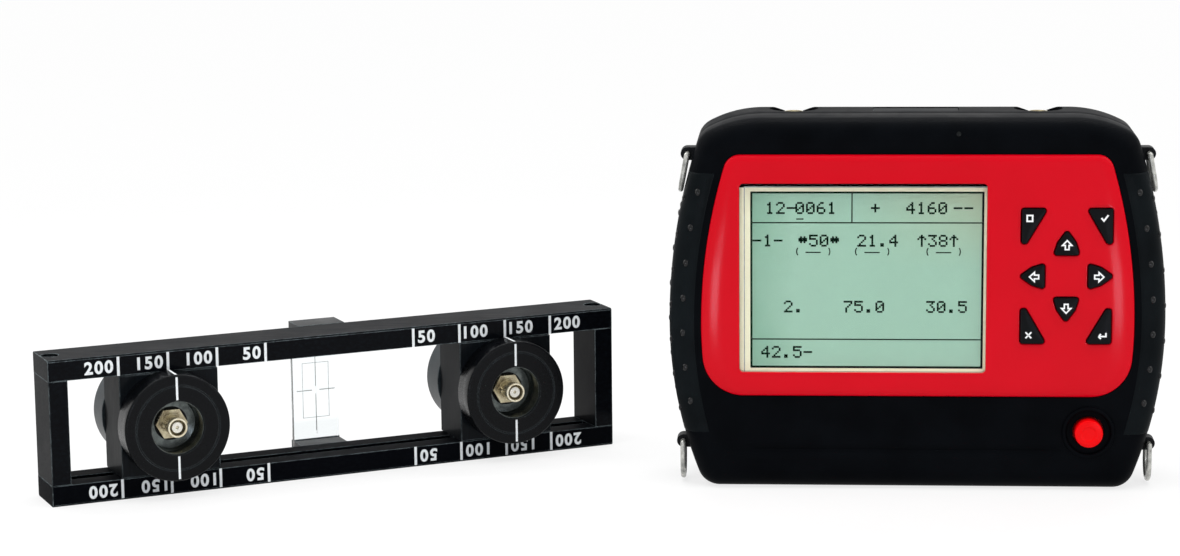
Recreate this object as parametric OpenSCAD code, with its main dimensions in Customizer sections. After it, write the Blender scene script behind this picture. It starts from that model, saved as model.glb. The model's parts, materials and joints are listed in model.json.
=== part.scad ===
// Crack depth gauge: an instrument case and, beside it, a probe holder with two sliding probes.
// Millimetres. X runs to the right, Y away from the viewer and Z up.
// The origin is the centre of the case's base.

/* [Instrument case] */
// Width of the case at its widest, across the side grips
case_w = 241; // [232:1:265]
// Height of the case
case_h = 183; // [178:1:200]
// Depth of the case, front to back
case_d = 58; // [56:1:70]
// How much narrower the case is at its top corners
top_taper = 26; // [18:1:34]
// How much narrower the case is just above its base
base_taper = 29; // [22:1:36]
// Radius of the rounding along the front and back edges
edge_r = 10; // [6:0.5:10.5]
// Radius of the corners at the base and at the top of each side
corner_r = 11; // [10.8:0.1:14]
// Radius of the long soft shoulder between the flat top and each top corner
shoulder_r = 57; // [45:1:65]
// Distance from each end of the flat top to the case's widest point
shoulder_run = 45.5; // [40.5:0.5:45.5]
// Thickness of the case wall under the grips and at the top and base
wall_t = 6; // [5:0.5:7]
// Thickness of the back wall
back_t = 3; // [2.5:0.5:4]
// Thickness of the side grips
grip_t = 2.5; // [1.5:0.25:3]
// Width of the part of each grip that lies on the front face
grip_lap = 13; // [11:0.5:14]
// Height of the lower end of the grips
grip_z0 = 28; // [27:1:45]
// Distance from the top of the case to the upper end of the grips
grip_drop = 26; // [26:1:45]

/* [Front panel] */
// Height of the panel's lower edge above the base
panel_z0 = 47; // [45:0.5:50]
// Distance from the top of the case to the panel's upper edge
panel_drop = 17; // [14:0.5:20]
// Width of the black border left at each side of the panel
panel_side = 15.7; // [14.5:0.1:17]
// Radius of the panel's upper corners
panel_top_r = 8; // [7.5:0.5:10]
// Radius of the panel's lower corners
panel_low_r = 20; // [14:1:24]
// Depth of the seat that holds the panel
panel_seat = 2; // [1.5:0.5:3]
// How far the crowned panel stands out of the case
panel_proud = 2; // [1:0.25:3]
// Thickness of the case's front wall behind the panel
front_t = 3.2; // [2.5:0.1:4]

/* [Display] */
// Width of the red strip between the display window and the key group's border
window_strip = 5; // [3:0.5:12]
// Height of the red strips above and below the display window
window_edge = 12.9; // [11.5:0.1:19]
// Distance from the panel's widest point to the window
window_margin = 18.7; // [16:0.1:20]
// Thickness of the clear window
window_t = 3; // [2:0.5:3.5]
// Width of the ledge that carries the window all round
window_ledge = 2; // [1.5:0.25:3]
// Thickness of the display module behind the front wall
display_t = 8.8; // [7:0.1:9]
// Width of the metal frame round the display glass
display_rim = 8; // [6:0.5:8]

/* [Keys] */
// Distance from the panel's widest point to the middle of the key group
keys_inset = 33.2; // [32.5:0.1:34]
// Width of an arrow key at its base
arrow_w = 12.6; // [11:0.1:13.5]
// Length of an arrow key from base to tip
arrow_l = 12.3; // [10:0.1:12.5]
// Distance from the middle of the group to the base of each arrow key
arrow_in = 10.4; // [9.5:0.1:10.8]
// Half the width of the key group over the corner keys
corner_x = 21.8; // [21.5:0.1:22.5]
// Half the height of the key group over the corner keys
corner_z = 33.1; // [32.5:0.1:34.5]
// Width of a corner key
wedge_w = 12.4; // [11:0.1:13]
// Height of a corner key
wedge_h = 17.1; // [15:0.1:17.5]
// How far the keys stand out of the panel
key_proud = 1.4; // [1:0.1:2]
// How far a key travels when pressed
key_travel = 0.8; // [0.5:0.1:1]
// Clearance round a key in its hole
key_gap = 0.3; // [0.2:0.05:0.5]

/* [Power button] */
// Radius of the red cap
cap_r = 7.1; // [6:0.1:8]
// Radius of the round rim about the cap
rim_r = 12.7; // [11.5:0.1:13.5]
// Height of the cap's centre above the base
power_z = 29.5; // [29:0.5:31]
// Distance of the cap's centre inside the case's widest point
power_inset = 36.9; // [36:0.1:40]
// How far the cap stands out of the front face
cap_proud = 4.5; // [3:0.1:6]
// How far the cap travels when pressed
power_travel = 1.5; // [1:0.1:2]

/* [Inside the case] */
// Thickness of the circuit boards
board_t = 1.6; // [1.2:0.2:2]
// Length of the posts that carry the main board
board_post = 11.8; // [11.5:0.1:13]
// Length of the posts that carry the keypad board
keypad_post = 3.8; // [3.6:0.1:4.5]
// Length of the spacers between the main board and the pulser board
spacer_l = 8.4; // [7:0.2:9]
// Width of the battery pack
pack_w = 120; // [100:1:124]
// Height of the battery pack
pack_h = 70; // [60:1:72]
// Thickness of the battery pack
pack_t = 16.6; // [14:0.2:17]
// Height of the battery pack's middle above the base
pack_z = 60; // [59:1:61]
// Thickness of the battery cover
cover_t = 2.4; // [2:0.1:2.8]

/* [Sockets on top] */
// Distance of each coaxial socket inside the end of the flat top
jack_in = 15; // [13:1:23]
// Radius of the round recess about a coaxial socket
jack_well_r = 12; // [10.5:0.5:12]
// Depth of that recess below the top
jack_well = 14; // [13.4:0.2:16]
// Length of the recess for the data and charging sockets
port_w = 42; // [38:1:44]
// Width of that recess, front to back
port_d = 13.6; // [12:0.2:14]
// Depth of that recess
port_depth = 8; // [7:0.5:9]
// Thickness of the rubber flap over it
flap_t = 2.2; // [1.8:0.1:2.2]

/* [Strap rings] */
// Radius of the wire of a ring
wire_r = 1.3; // [1:0.1:1.3]
// Radius of the round end of a ring
bow_r = 8.7; // [7:0.1:9]
// Length of the straight legs of a ring
leg_l = 9.5; // [7:0.5:9.5]
// Height of the lower ring pivots
low_pivot_z = 20.5; // [20.5:0.5:22]
// Distance of the upper ring pivots from the top of the case
high_pivot_drop = 18.7; // [17:0.1:20]
// Distance of a ring pivot outside the case
pivot_out = 3.2; // [3:0.1:5]
// Width of a lug
lug_w = 8; // [6:0.5:10]

/* [Probe holder] */
// Length of the holder
bar_l = 298; // [294:1:320]
// Height of the holder
bar_h = 72.5; // [71:0.5:80]
// Depth of the holder's frame
bar_d = 27.8; // [26:0.2:34]
// Thickness of the rails
rail_t = 10.4; // [9:0.1:11]
// Thickness of the end plates
end_t = 9.6; // [8:0.1:9.6]
// Chamfer along the rails' edges
rail_chamfer = 0.8; // [0.4:0.1:1.2]
// Width of the guide groove in each rail
groove_w = 6.2; // [5:0.1:7]
// Depth of the guide groove
groove_d = 3; // [2:0.1:3.4]
// Distance of the first mark from the middle
mark_first = 39.1; // [39.1:0.1:41]
// Distance from one mark to the next
mark_step = 25; // [22:0.5:25]
// Width of a mark
mark_w = 1.1; // [0.6:0.1:1.6]
// Width of the blocks that carry the sight plate
centre_w = 24.6; // [20:0.2:24.6]
// Depth of those blocks behind the frame
centre_d = 15.8; // [14:0.2:16]
// Thickness of the clear sight plate
sight_t = 3; // [2:0.5:3]
// Where the holder stands: its front middle, to the left of the case
holder_x = -286; // [-330:1:-283]
// Where the holder stands: its front middle, towards the back from the case's centre
holder_y = -7; // [-30:1:130]
// How far the holder is turned from the case's direction, in degrees
holder_turn = 28; // [10:1:32]

/* [Probes] */
// Width of the block that slides between the rails
block_w = 50; // [44:0.5:50]
// Radius of the round head in front and of the transducer behind
head_r = 26.5; // [24:0.1:26.5]
// Thickness of the head
head_t = 13.6; // [13.2:0.1:16]
// Radius of the recess in the head
recess_r = 13.2; // [11:0.1:14]
// Depth of that recess
recess_d = 13; // [12.8:0.1:13]
// Radius of the transducer's stem inside the block
stem_r = 18; // [14:0.5:20]
// Length of the transducer behind the frame
rear_l = 15.3; // [14:0.1:18]
// Radius of the wear plate that touches the surface
wear_r = 15; // [12:0.5:18]
// Thickness of the wear plate
wear_t = 1.2; // [0.8:0.1:2]
// Clearance between a probe and the rails
slide_gap = 0.3; // [0.2:0.05:0.4]

/* [Coaxial sockets] */
// Outer radius of the barrel
barrel_r = 4.8; // [4.5:0.05:4.9]
// Inner radius of the barrel
barrel_bore_r = 4.05; // [3.8:0.05:4.1]
// Height of the whole socket above its seat
jack_l = 12.5; // [12:0.1:12.5]
// Radius of the white insulator
core_r = 2.7; // [2.2:0.1:3]

/* [Hidden] */
$fn = 48;

// How far a cut runs past the face that it opens
over = 1;
// Face clearance of pieces that are laid into a seat
fit_gap = 0.15;
// Clearance of a running shaft in its hole
run_gap = 0.06;
// Number of steps round a rounded edge and along the outline's arcs
edge_steps = 5;
corner_steps = 4;
side_steps = 7;
key_steps = 4;

// Where the widest point of the case lies, as a share of its height
wide_share = 0.45;
wide_z = wide_share * case_h;
// Heights at which the tapers are measured
top_side_drop = 15;
top_side_z = case_h - top_side_drop;
base_side_z = 6;

function sag_radius(run, sag) = (run * run + sag * sag) / (2 * sag);
function arc(c, r, a0, a1, n, last) =
    [for (i = [0 : last ? n : n - 1]) c + r * [cos(a0 + (a1 - a0) * i / n), sin(a0 + (a1 - a0) * i / n)]];
function angle_of(v) = atan2(v[1], v[0]);
function mirrored(p) = concat(p, [for (i = [len(p) - 1 : -1 : 0]) [-p[i][0], p[i][1]]]);
function turned(p, a) = [for (q = p) [q[0] * cos(a) - q[1] * sin(a), q[0] * sin(a) + q[1] * cos(a)]];
function moved(p, v) = [for (q = p) q + v];
function flipped(p, sx, sz) = sx * sz > 0 ? [for (q = p) [sx * q[0], sz * q[1]]]
    : [for (i = [len(p) - 1 : -1 : 0]) [sx * p[i][0], sz * p[i][1]]];

// A convex outline with its corners rounded to r, then grown by g all round
function rounded(p, r, g) = [for (i = [0 : len(p) - 1])
    let (before = p[(i + len(p) - 1) % len(p)], here = p[i], next = p[(i + 1) % len(p)],
        e1 = (here - before) / norm(here - before), e2 = (next - here) / norm(next - here),
        turn = acos(e1 * e2), bisector = (e2 - e1) / norm(e2 - e1),
        c = here + bisector * r / cos(turn / 2), a0 = atan2(-e1[0], e1[1]))
    for (j = [0 : key_steps]) c + (r + g) * [cos(a0 + turn * j / key_steps), sin(a0 + turn * j / key_steps)]];
function box_pts(x, z, w, h) = [[x - w / 2, z - h / 2], [x + w / 2, z - h / 2],
    [x + w / 2, z + h / 2], [x - w / 2, z + h / 2]];

// The case outline is a chain of arcs that touch one another:
// base corner, two side arcs, top corner and shoulder
side_low_r = sag_radius(wide_z - base_side_z, base_taper / 2);
side_up_r = sag_radius(top_side_z - wide_z, top_taper / 2);
low_c = [case_w / 2 - side_low_r, wide_z];
up_c = [case_w / 2 - side_up_r, wide_z];
base_c = [low_c[0] + sqrt(pow(side_low_r - corner_r, 2) - pow(wide_z - corner_r, 2)), corner_r];
top_flat_w = case_w - 2 * shoulder_run;
shoulder_c = [top_flat_w / 2, case_h - shoulder_r];
function circles_meet(p, rp, q, rq) =
    let (d = norm(q - p), along = (rp * rp - rq * rq + d * d) / (2 * d), u = (q - p) / d)
    p + along * u + sqrt(rp * rp - along * along) * [-u[1], u[0]];
corner_c = circles_meet(up_c, side_up_r - corner_r, shoulder_c, shoulder_r - corner_r);
base_a = angle_of(base_c - low_c);
up_a = angle_of(corner_c - up_c);
shoulder_a = angle_of(corner_c - shoulder_c);

// Half the width of the case at height z, inset by d
function side_x(z, d) = z < wide_z
    ? low_c[0] + sqrt(pow(side_low_r - d, 2) - pow(z - wide_z, 2))
    : up_c[0] + sqrt(pow(side_up_r - d, 2) - pow(z - wide_z, 2));
function case_pts(d) = mirrored(concat(
    arc(base_c, corner_r - d, -90, base_a, corner_steps, false),
    arc(low_c, side_low_r - d, base_a, 0, side_steps, false),
    arc(up_c, side_up_r - d, 0, up_a, side_steps, false),
    arc(corner_c, corner_r - d, up_a, shoulder_a, corner_steps, false),
    arc(shoulder_c, shoulder_r - d, shoulder_a, 90, corner_steps, true)));

grip_z1 = case_h - grip_drop;
grip_steps = 2 * side_steps;

// The panel outline keeps an even border inside the case's sides
panel_z1 = case_h - panel_drop;
panel_mid_z = (panel_z0 + panel_z1) / 2;
panel_half_w = case_w / 2 - panel_side;
panel_low_c = [side_x(panel_z0 + panel_low_r, panel_side + panel_low_r), panel_z0 + panel_low_r];
panel_up_c = [side_x(panel_z1 - panel_top_r, panel_side + panel_top_r), panel_z1 - panel_top_r];
function panel_pts(d) = mirrored(concat(
    arc(panel_low_c, panel_low_r - d, -90, angle_of(panel_low_c - low_c), side_steps, false),
    arc(low_c, side_low_r - panel_side - d, angle_of(panel_low_c - low_c), 0, corner_steps, false),
    arc(up_c, side_up_r - panel_side - d, 0, angle_of(panel_up_c - up_c), side_steps, false),
    arc(panel_up_c, panel_top_r - d, angle_of(panel_up_c - up_c), 90, corner_steps, true)));
// Insets of the crowned panel's front, as shares of its crown width
crown_w = 6;
crown_in_shares = [0, 0.12, 0.42, 1];
crown_out_shares = [0.25, 0.6, 0.88, 1];

// Depth levels of the case, from the front. The two shells meet at joint_y.
joint_y = -4;
front_y = -case_d / 2;
back_y = case_d / 2;
seat_y = front_y + panel_seat;
inner_y = seat_y + front_t;
panel_y = front_y - panel_proud;
cavity_back_y = back_y - back_t;

window_w = 2 * (panel_half_w - keys_inset) - window_margin - window_strip;
window_h = panel_z1 - panel_z0 - 2 * window_edge;
window_x = -panel_half_w + window_margin + window_w / 2;
window_drop = 1;
window_z = panel_mid_z - window_drop;
window_r = 2;
glass_step = 2.6;
keys_x = panel_half_w - keys_inset;
keys_z = panel_mid_z + window_drop / 2;
key_r = 1.2;
key_lip = 1.2;
key_flange_t = 0.7;
arrow_bulge = 1.2;

arrow_mid = [arrow_w / 4 + arrow_bulge, arrow_in + arrow_l / 2];
arrow_pts = [[-arrow_w / 2, arrow_in], [arrow_w / 2, arrow_in], arrow_mid,
    [0, arrow_in + arrow_l], [-arrow_mid[0], arrow_mid[1]]];
wedge_tip = 2.5;
wedge_pts = [[corner_x - wedge_w, corner_z], [corner_x - wedge_tip, corner_z - wedge_h],
    [corner_x, corner_z - wedge_h], [corner_x, corner_z]];
function key_pts(i) = moved(i < 4 ? turned(arrow_pts, 90 * i)
    : flipped(wedge_pts, i == 4 || i == 6 ? -1 : 1, i < 6 ? 1 : -1), [keys_x, keys_z]);

power_x = case_w / 2 - power_inset;
rim_proud = 1.2;
rim_w = 2;
rim_dip = 1;
cap_gap = 0.5;
cap_flange_w = 1.9;
cap_flange_r = cap_r + cap_flange_w;
cap_flange_t = 1;
flange_gap = 0.3;

plunger_gap = 0.2;
plunger_r = 2;
plunger_l = 2;
switch_w = 12;
dome_r = 2.2;
dome_h = keypad_post - flange_gap / 2 - key_flange_t - key_travel - flange_gap;
lamp_x = 19.4;
lamp_z = case_h - 7;
lamp_r = 1.2;
lamp_l = 4;

// Posts and screws
screw_r = 1.5;
screw_head_r = 3;
screw_head_l = 2.2;
post_r = 4.5;
screw_sink = 9;
screw_bite = 12;
post_inset = 19.5;
post_rise = 36;
post_drop = 33;
low_post_x = 40;
post_merge = 1.5;
case_posts = concat(
    [for (sx = [-1, 1], z = [post_rise, case_h - post_drop]) [sx * (case_w / 2 - post_inset), z]],
    [for (sx = [-1, 1]) [sx * low_post_x, wall_t + post_r - post_merge]]);
small_r = 1.25;
small_head_r = 2.3;
small_head_l = 1.6;
small_bite = 3;
small_post_r = 3.2;
main_y = inner_y + board_post;
keypad_y = inner_y + keypad_post;
board_inset = 27;
board_rise = 11;
board_drop = 15;
board_post_in = 6;
low_board_post_in = 32;
board_post_down = 4;
main_half_w = case_w / 2 - board_inset;
main_z0 = wall_t + board_rise;
main_z1 = case_h - board_drop;
main_posts = [for (sx = [-1, 1], p = [[board_post_in, main_z1 - board_post_down],
    [low_board_post_in, main_z0 + board_post_down]]) [sx * (main_half_w - p[0]), p[1]]];
chip_shares = [[-0.25, 0.5, 0.2, 0.16], [0.17, 0.53, 0.15, 0.12],
    [-0.5, 0.4, 0.12, 0.13], [0.42, 0.4, 0.1, 0.13]];
keypad_pad = 1.6;
keypad_posts = [[keys_x, keys_z - corner_z], [keys_x, keys_z], [keys_x, keys_z + corner_z]];
pulser_y = main_y + board_t + spacer_l;
pulser_w = 120;
pulser_h = 56;
pulser_drop = 51;
pulser_z = case_h - pulser_drop;
spacer_in = 6;
spacer_down = 5;
spacer_posts = [for (sx = [-1, 1], sz = [-1, 1])
    [sx * (pulser_w / 2 - spacer_in), pulser_z + sz * (pulser_h / 2 - spacer_down)]];
chip_h = 2.4;
shield_h = 5;

// Battery bay in the back
bay_gap = 0.4;
bay_wall = 1.6;
cover_lap = 4;
cover_r = 5;
cover_screws = [for (sx = [-1, 1]) [sx * (pack_w + cover_lap) / 2, pack_z]];
pack_back_y = back_y - cover_t;
bay_front_y = pack_back_y - pack_t - bay_gap / 2;

// Gasket groove in the joint of the two shells
gasket_in = 3.4;
gasket_w = 1.6;
gasket_t = 1.6;

// Sockets on top
jack_y_gap = 2.5;
jack_x = top_flat_w / 2 - jack_in;
jack_y = jack_well_r + jack_y_gap;
well_floor_z = case_h - jack_well;
well_wall = 2;
well_floor_t = 3;
jack_thread_r = 5.5;
nut_flats = 14;
nut_t = 2.2;
nut_back_l = 10;
barrel_relief = 0.25;
stud_r = 1;
stud_out = 1.1;
stud_down = 0.4;
smooth_l = 5;
core_down = 1;
core_hole_r = 0.8;
port_y_gap = 4;
port_y = port_d / 2 + port_y_gap;
port_floor_z = case_h - port_depth;
port_floor_t = 2;
port_wall = 2.5;
pin_r = 0.7;
barrel_hinge_r = 1.5;
flap_gap = 0.3;
hinge_room = 0.4;
hinge_y = port_y + port_d / 2 - barrel_hinge_r - flap_gap - hinge_room;
hinge_z = case_h - barrel_hinge_r - flap_gap;
flap_top_z = case_h - fit_gap;
data_w = 12.4;
data_d = 4.9;
charge_r = 4;
charge_bore_r = 2.75;
charge_pin_r = 1;
port_pitch = 9.5;
socket_below = 6;
socket_collar = 1;

// Strap lugs and rings
lug_y = -10;
lug_r = 3.2;
lug_seat = 2;
ring_drop = leg_l + bow_r;
high_pivot_z = case_h - high_pivot_drop;
low_pivot_x = side_x(low_pivot_z, 0) + pivot_out;
high_pivot_x = side_x(high_pivot_z, 0) + pivot_out;
pivots = [[low_pivot_x, low_pivot_z], [high_pivot_x, high_pivot_z]];
rest_gap = 0.45;
ring_lean = asin((side_x(high_pivot_z - ring_drop, 0) + wire_r + rest_gap - high_pivot_x) / ring_drop);

// Probe holder, in its own frame: X along it, Y to its back, Z up, origin at the front middle of its base
opening_h = bar_h - 2 * rail_t;
screw_bar_r = 2.5;
bar_head_r = 4.2;
bar_head_l = 3;
bar_head_sink = 4;
bar_screw_l = 20;
hex_r = 2.2;
hex_d = 1.8;
groove_y = bar_d / 2;
centre_back_y = bar_d + centre_d;
sight_in = 1.4;
sight_y = centre_back_y - sight_t - sight_in;
sight_bite = 3;
sight_gap = 0.1;
cross_w = 0.5;
cross_cut = 0.4;
cross_gap = 4;
cross_in = 2;
cross_arm = centre_w - 2 * cross_in;
block_screw_r = 2;
block_screw_bite = 8;
block_screw_x = 7;
mark_t = 0.15;
marks = [for (k = [0 : 3]) mark_first + mark_step * k];
probe_x = marks[2];
tongue_w = groove_w - 2 * slide_gap;
tongue_d = groove_d - slide_gap;
block_h = opening_h - 2 * slide_gap;
block_y0 = -slide_gap;
block_y1 = bar_d + slide_gap;
head_y0 = block_y0 - head_t;
recess_floor_y = head_y0 + recess_d;
rear_y1 = block_y1 + rear_l;
wear_sink = 0.6;
head_groove_r = 21;
head_groove_w = 1;
head_groove_d = 0.5;
head_chamfer = 0.8;

// A flat outline in X and Z, drawn as a plate from y0 to y1
module across(y0, y1) translate([0, y1, 0]) rotate([90, 0, 0]) linear_extrude(y1 - y0) children();
// A round post along Y
module post(p, r, y0, y1) translate([p[0], y1, p[1]]) rotate([90, 0, 0]) cylinder(r = r, h = y1 - y0);
// A six-sided post along Y
module hex_post(p, r, y0, y1) translate([p[0], y1, p[1]]) rotate([90, 0, 0])
    cylinder(r = r, h = y1 - y0, $fn = 6);

// The case as one rounded solid, inset by d
module case_solid(d) hull() for (i = [0 : edge_steps])
    let (a = 90 * i / edge_steps, deep = case_d / 2 - edge_r + (edge_r - d) * sin(a))
    across(-deep, deep) polygon(case_pts(edge_r - (edge_r - d) * cos(a)));
module half(front) intersection() {
    case_solid(0);
    translate([-case_w, front ? joint_y - case_d : joint_y, -over])
        cube([2 * case_w, case_d, case_h + 2 * over]);
}
module cavity(y0, y1) across(y0, y1) polygon(case_pts(wall_t));

function grip_zone(s) = let (zs = [for (i = [0 : grip_steps]) grip_z0 + (grip_z1 - grip_z0) * i / grip_steps])
    flipped(concat([for (z = zs) [side_x(z, -2 * over), z]],
        [for (i = [grip_steps : -1 : 0]) [side_x(zs[i], grip_lap), zs[i]]]), s, 1);
// The layer that the grips fill; past is how far it runs out of the case's surface
module grip_band(sides, past) intersection() {
    difference() {
        case_solid(-past);
        case_solid(grip_t);
    }
    for (s = sides) across(-case_d, case_d) polygon(grip_zone(s));
}
module gasket_ring(g) across(joint_y - gasket_t / 2, joint_y + gasket_t / 2) difference() {
    polygon(case_pts(gasket_in - g));
    polygon(case_pts(gasket_in + gasket_w + g));
}
module at_pivots() for (sx = [-1, 1], p = pivots) translate([sx * p[0], lug_y, p[1]]) children();
module lug_feet() for (sx = [-1, 1], p = pivots) let (inside = side_x(p[1], 0) - lug_seat)
    translate([sx > 0 ? inside : -p[0], lug_y - lug_w / 2, p[1] - lug_r])
        cube([p[0] - inside, lug_w, 2 * lug_r]);

module front_shell() color("#15181b") difference() {
    union() {
        half(true);
        post([power_x, power_z], rim_r, front_y - rim_proud, seat_y);
    }
    difference() {
        cavity(inner_y, joint_y + over);
        for (p = case_posts) post(p, post_r, inner_y - over, joint_y);
        for (p = main_posts) post(p, small_post_r, inner_y - over, main_y);
        for (p = keypad_posts) post(p, small_post_r, inner_y - over, keypad_y);
    }
    grip_band([-1, 1], over);
    gasket_ring(fit_gap);
    lug_feet();
    across(front_y - over, seat_y) polygon(panel_pts(-fit_gap));
    across(front_y - over, inner_y + over)
        polygon(rounded(box_pts(window_x, window_z, window_w - 2 * window_ledge, window_h - 2 * window_ledge),
            window_r, 0));
    for (i = [0 : 7]) across(front_y, inner_y + over) polygon(rounded(key_pts(i), key_r, key_gap));
    post([power_x, power_z], rim_r - rim_w, front_y - rim_proud - over, front_y + rim_dip);
    post([power_x, power_z], cap_r + cap_gap, front_y, inner_y + over);
    post([lamp_x, lamp_z], lamp_r, front_y - over, inner_y + over);
    for (p = case_posts) post(p, screw_r, joint_y - screw_bite, joint_y + over);
    for (p = main_posts) post(p, small_r, main_y - small_bite - over, main_y + over);
    for (p = keypad_posts) post(p, small_r, keypad_y - small_bite - over, keypad_y + over);
}

module bay(g, y0) translate([-pack_w / 2 - g, y0, pack_z - pack_h / 2 - g])
    cube([pack_w + 2 * g, back_y + over - y0, pack_h + 2 * g]);
module cover_outline(g)
    polygon(rounded(box_pts(0, pack_z, pack_w + 2 * cover_lap, pack_h + 2 * cover_lap), cover_r, g));
module port_box(g, z0) translate([-port_w / 2 - g, port_y - port_d / 2 - g, z0])
    cube([port_w + 2 * g, port_d + 2 * g, case_h + over - z0]);
module well(sx, r, z0) translate([sx * jack_x, jack_y, z0]) cylinder(r = r, h = case_h + over - z0);

module rear_shell() color("#1a1d20") difference() {
    half(false);
    difference() {
        cavity(joint_y - over, cavity_back_y);
        for (p = case_posts) post(p, post_r, joint_y, back_y);
        bay(bay_gap + bay_wall, bay_front_y - bay_wall);
        port_box(port_wall, port_floor_z - port_floor_t);
        for (sx = [-1, 1]) well(sx, jack_well_r + well_wall, well_floor_z - well_floor_t);
    }
    grip_band([-1, 1], over);
    gasket_ring(fit_gap);
    bay(bay_gap, bay_front_y);
    across(pack_back_y, back_y + over) cover_outline(fit_gap);
    port_box(0, port_floor_z);
    translate([-port_w / 2 - port_wall, hinge_y, hinge_z]) rotate([0, 90, 0])
        cylinder(r = pin_r, h = port_w + 2 * port_wall);
    translate([-port_pitch - data_w / 2, port_y - data_d / 2, port_floor_z - port_floor_t - over])
        cube([data_w, data_d, port_depth]);
    translate([port_pitch, port_y, port_floor_z - port_floor_t - over])
        cylinder(r = charge_r, h = port_depth);
    for (sx = [-1, 1]) {
        well(sx, jack_well_r, well_floor_z);
        translate([sx * jack_x, jack_y, well_floor_z - 2 * well_floor_t])
            cylinder(r = jack_thread_r, h = jack_well);
    }
    for (p = case_posts) {
        post(p, screw_r + fit_gap, joint_y - over, back_y + over);
        post(p, screw_head_r + fit_gap, back_y - screw_sink, back_y + over);
    }
    for (p = cover_screws) post(p, small_r, pack_back_y - small_bite - over, back_y);
}

module red_fascia() color("#d4001c") difference() {
    hull() for (i = [0 : len(crown_in_shares) - 1])
        across(front_y - panel_proud * crown_out_shares[i], seat_y)
            polygon(panel_pts(crown_w * crown_in_shares[i]));
    across(panel_y - over, seat_y + over)
        polygon(rounded(box_pts(window_x, window_z, window_w, window_h), window_r, fit_gap));
    for (i = [0 : 7]) across(panel_y - over, seat_y + over) polygon(rounded(key_pts(i), key_r, key_gap));
}

module left_grip() color("#0c0e10") grip_band([-1], 0);
module right_grip() color("#0c0e10") grip_band([1], 0);
module case_gasket() color("#2a2a2a") gasket_ring(0);

module display_window() color("#dfe8d8", 0.4) across(seat_y - window_t, seat_y)
    polygon(rounded(box_pts(window_x, window_z, window_w, window_h), window_r, 0));
module display_module() color("#9fb8a4") {
    across(inner_y - glass_step, inner_y)
        polygon(box_pts(window_x, window_z, window_w - 2 * window_ledge - 2 * fit_gap,
            window_h - 2 * window_ledge - 2 * fit_gap));
    across(inner_y, inner_y + display_t)
        polygon(box_pts(window_x, window_z, window_w + 2 * display_rim - 2 * window_ledge,
            window_h + 2 * display_rim - 2 * window_ledge));
}

module board_holes(posts, y) for (p = posts) post(p, small_r + fit_gap, y - over, y + board_t + over);
module main_board() color("#1c5a34") difference() {
    union() {
        across(main_y, main_y + board_t) difference() {
            translate([-main_half_w, main_z0]) square([2 * main_half_w, main_z1 - main_z0]);
            for (p = spacer_posts) translate(p) circle(r = small_r);
        }
        for (c = chip_shares) across(main_y + board_t, main_y + board_t + chip_h)
            polygon(box_pts(c[0] * main_half_w, main_z0 + c[1] * (main_z1 - main_z0),
                c[2] * main_half_w, c[3] * (main_z1 - main_z0)));
    }
    board_holes(main_posts, main_y);
}
module keypad_board() color("#1c5a34") {
    difference() {
        across(keypad_y, keypad_y + board_t)
            polygon(box_pts(keys_x, keys_z, 2 * (corner_x + keypad_pad),
                2 * (corner_z + 2 * keypad_pad + key_lip)));
        board_holes(keypad_posts, keypad_y);
    }
    for (i = [0 : 7]) let (p = key_pts(i), c = centre_of(p)) post(c, dome_r, keypad_y - dome_h, keypad_y);
}
function centre_of(p) = [for (k = [0, 1]) sum([for (q = p) q[k]]) / len(p)];
function sum(v, i = 0) = i < len(v) ? v[i] + sum(v, i + 1) : 0;

module pulser_board() color("#1c5a34") {
    difference() {
        across(pulser_y, pulser_y + board_t) polygon(box_pts(0, pulser_z, pulser_w, pulser_h));
        board_holes(spacer_posts, pulser_y);
    }
    across(pulser_y + board_t, pulser_y + board_t + shield_h)
        polygon(box_pts(-pulser_w / 5, pulser_z, pulser_w / 3, pulser_h / 2));
    across(pulser_y + board_t, pulser_y + board_t + chip_h)
        polygon(box_pts(pulser_w / 5, pulser_z, pulser_w / 6, pulser_w / 6));
}
module board_spacers() color("#c9a24a") for (p = spacer_posts) difference() {
    post(p, small_post_r, main_y + board_t, pulser_y);
    post(p, small_r, pulser_y - small_bite - over, pulser_y + over);
}
module small_screw(p, seat, bite) {
    post(p, small_r, seat - bite, seat);
    post(p, small_head_r, seat, seat + small_head_l);
}
module board_screws() color("#b8bcc0") {
    for (p = main_posts) small_screw(p, main_y + board_t, board_t + small_bite);
    for (p = keypad_posts) small_screw(p, keypad_y + board_t, board_t + small_bite);
    for (p = spacer_posts) small_screw(p, pulser_y + board_t, board_t + small_bite);
}
module case_screws() color("#9a9ea2") {
    for (p = case_posts) difference() {
        union() {
            post(p, screw_r, joint_y - screw_bite, back_y - screw_sink);
            post(p, screw_head_r, back_y - screw_sink, back_y - screw_sink + screw_head_l);
        }
        hex_post(p, screw_r, back_y - screw_sink + screw_head_l - hex_d / 2, back_y);
    }
    for (p = cover_screws) small_screw(p, back_y, cover_t + small_bite);
}
module battery_pack() color("#3b4a8c") translate([-pack_w / 2, pack_back_y - pack_t, pack_z - pack_h / 2])
    cube([pack_w, pack_t, pack_h]);
module battery_cover() color("#1a1d20") difference() {
    across(pack_back_y, back_y) cover_outline(0);
    for (p = cover_screws) post(p, small_r + fit_gap, pack_back_y - over, back_y + over);
}

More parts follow.
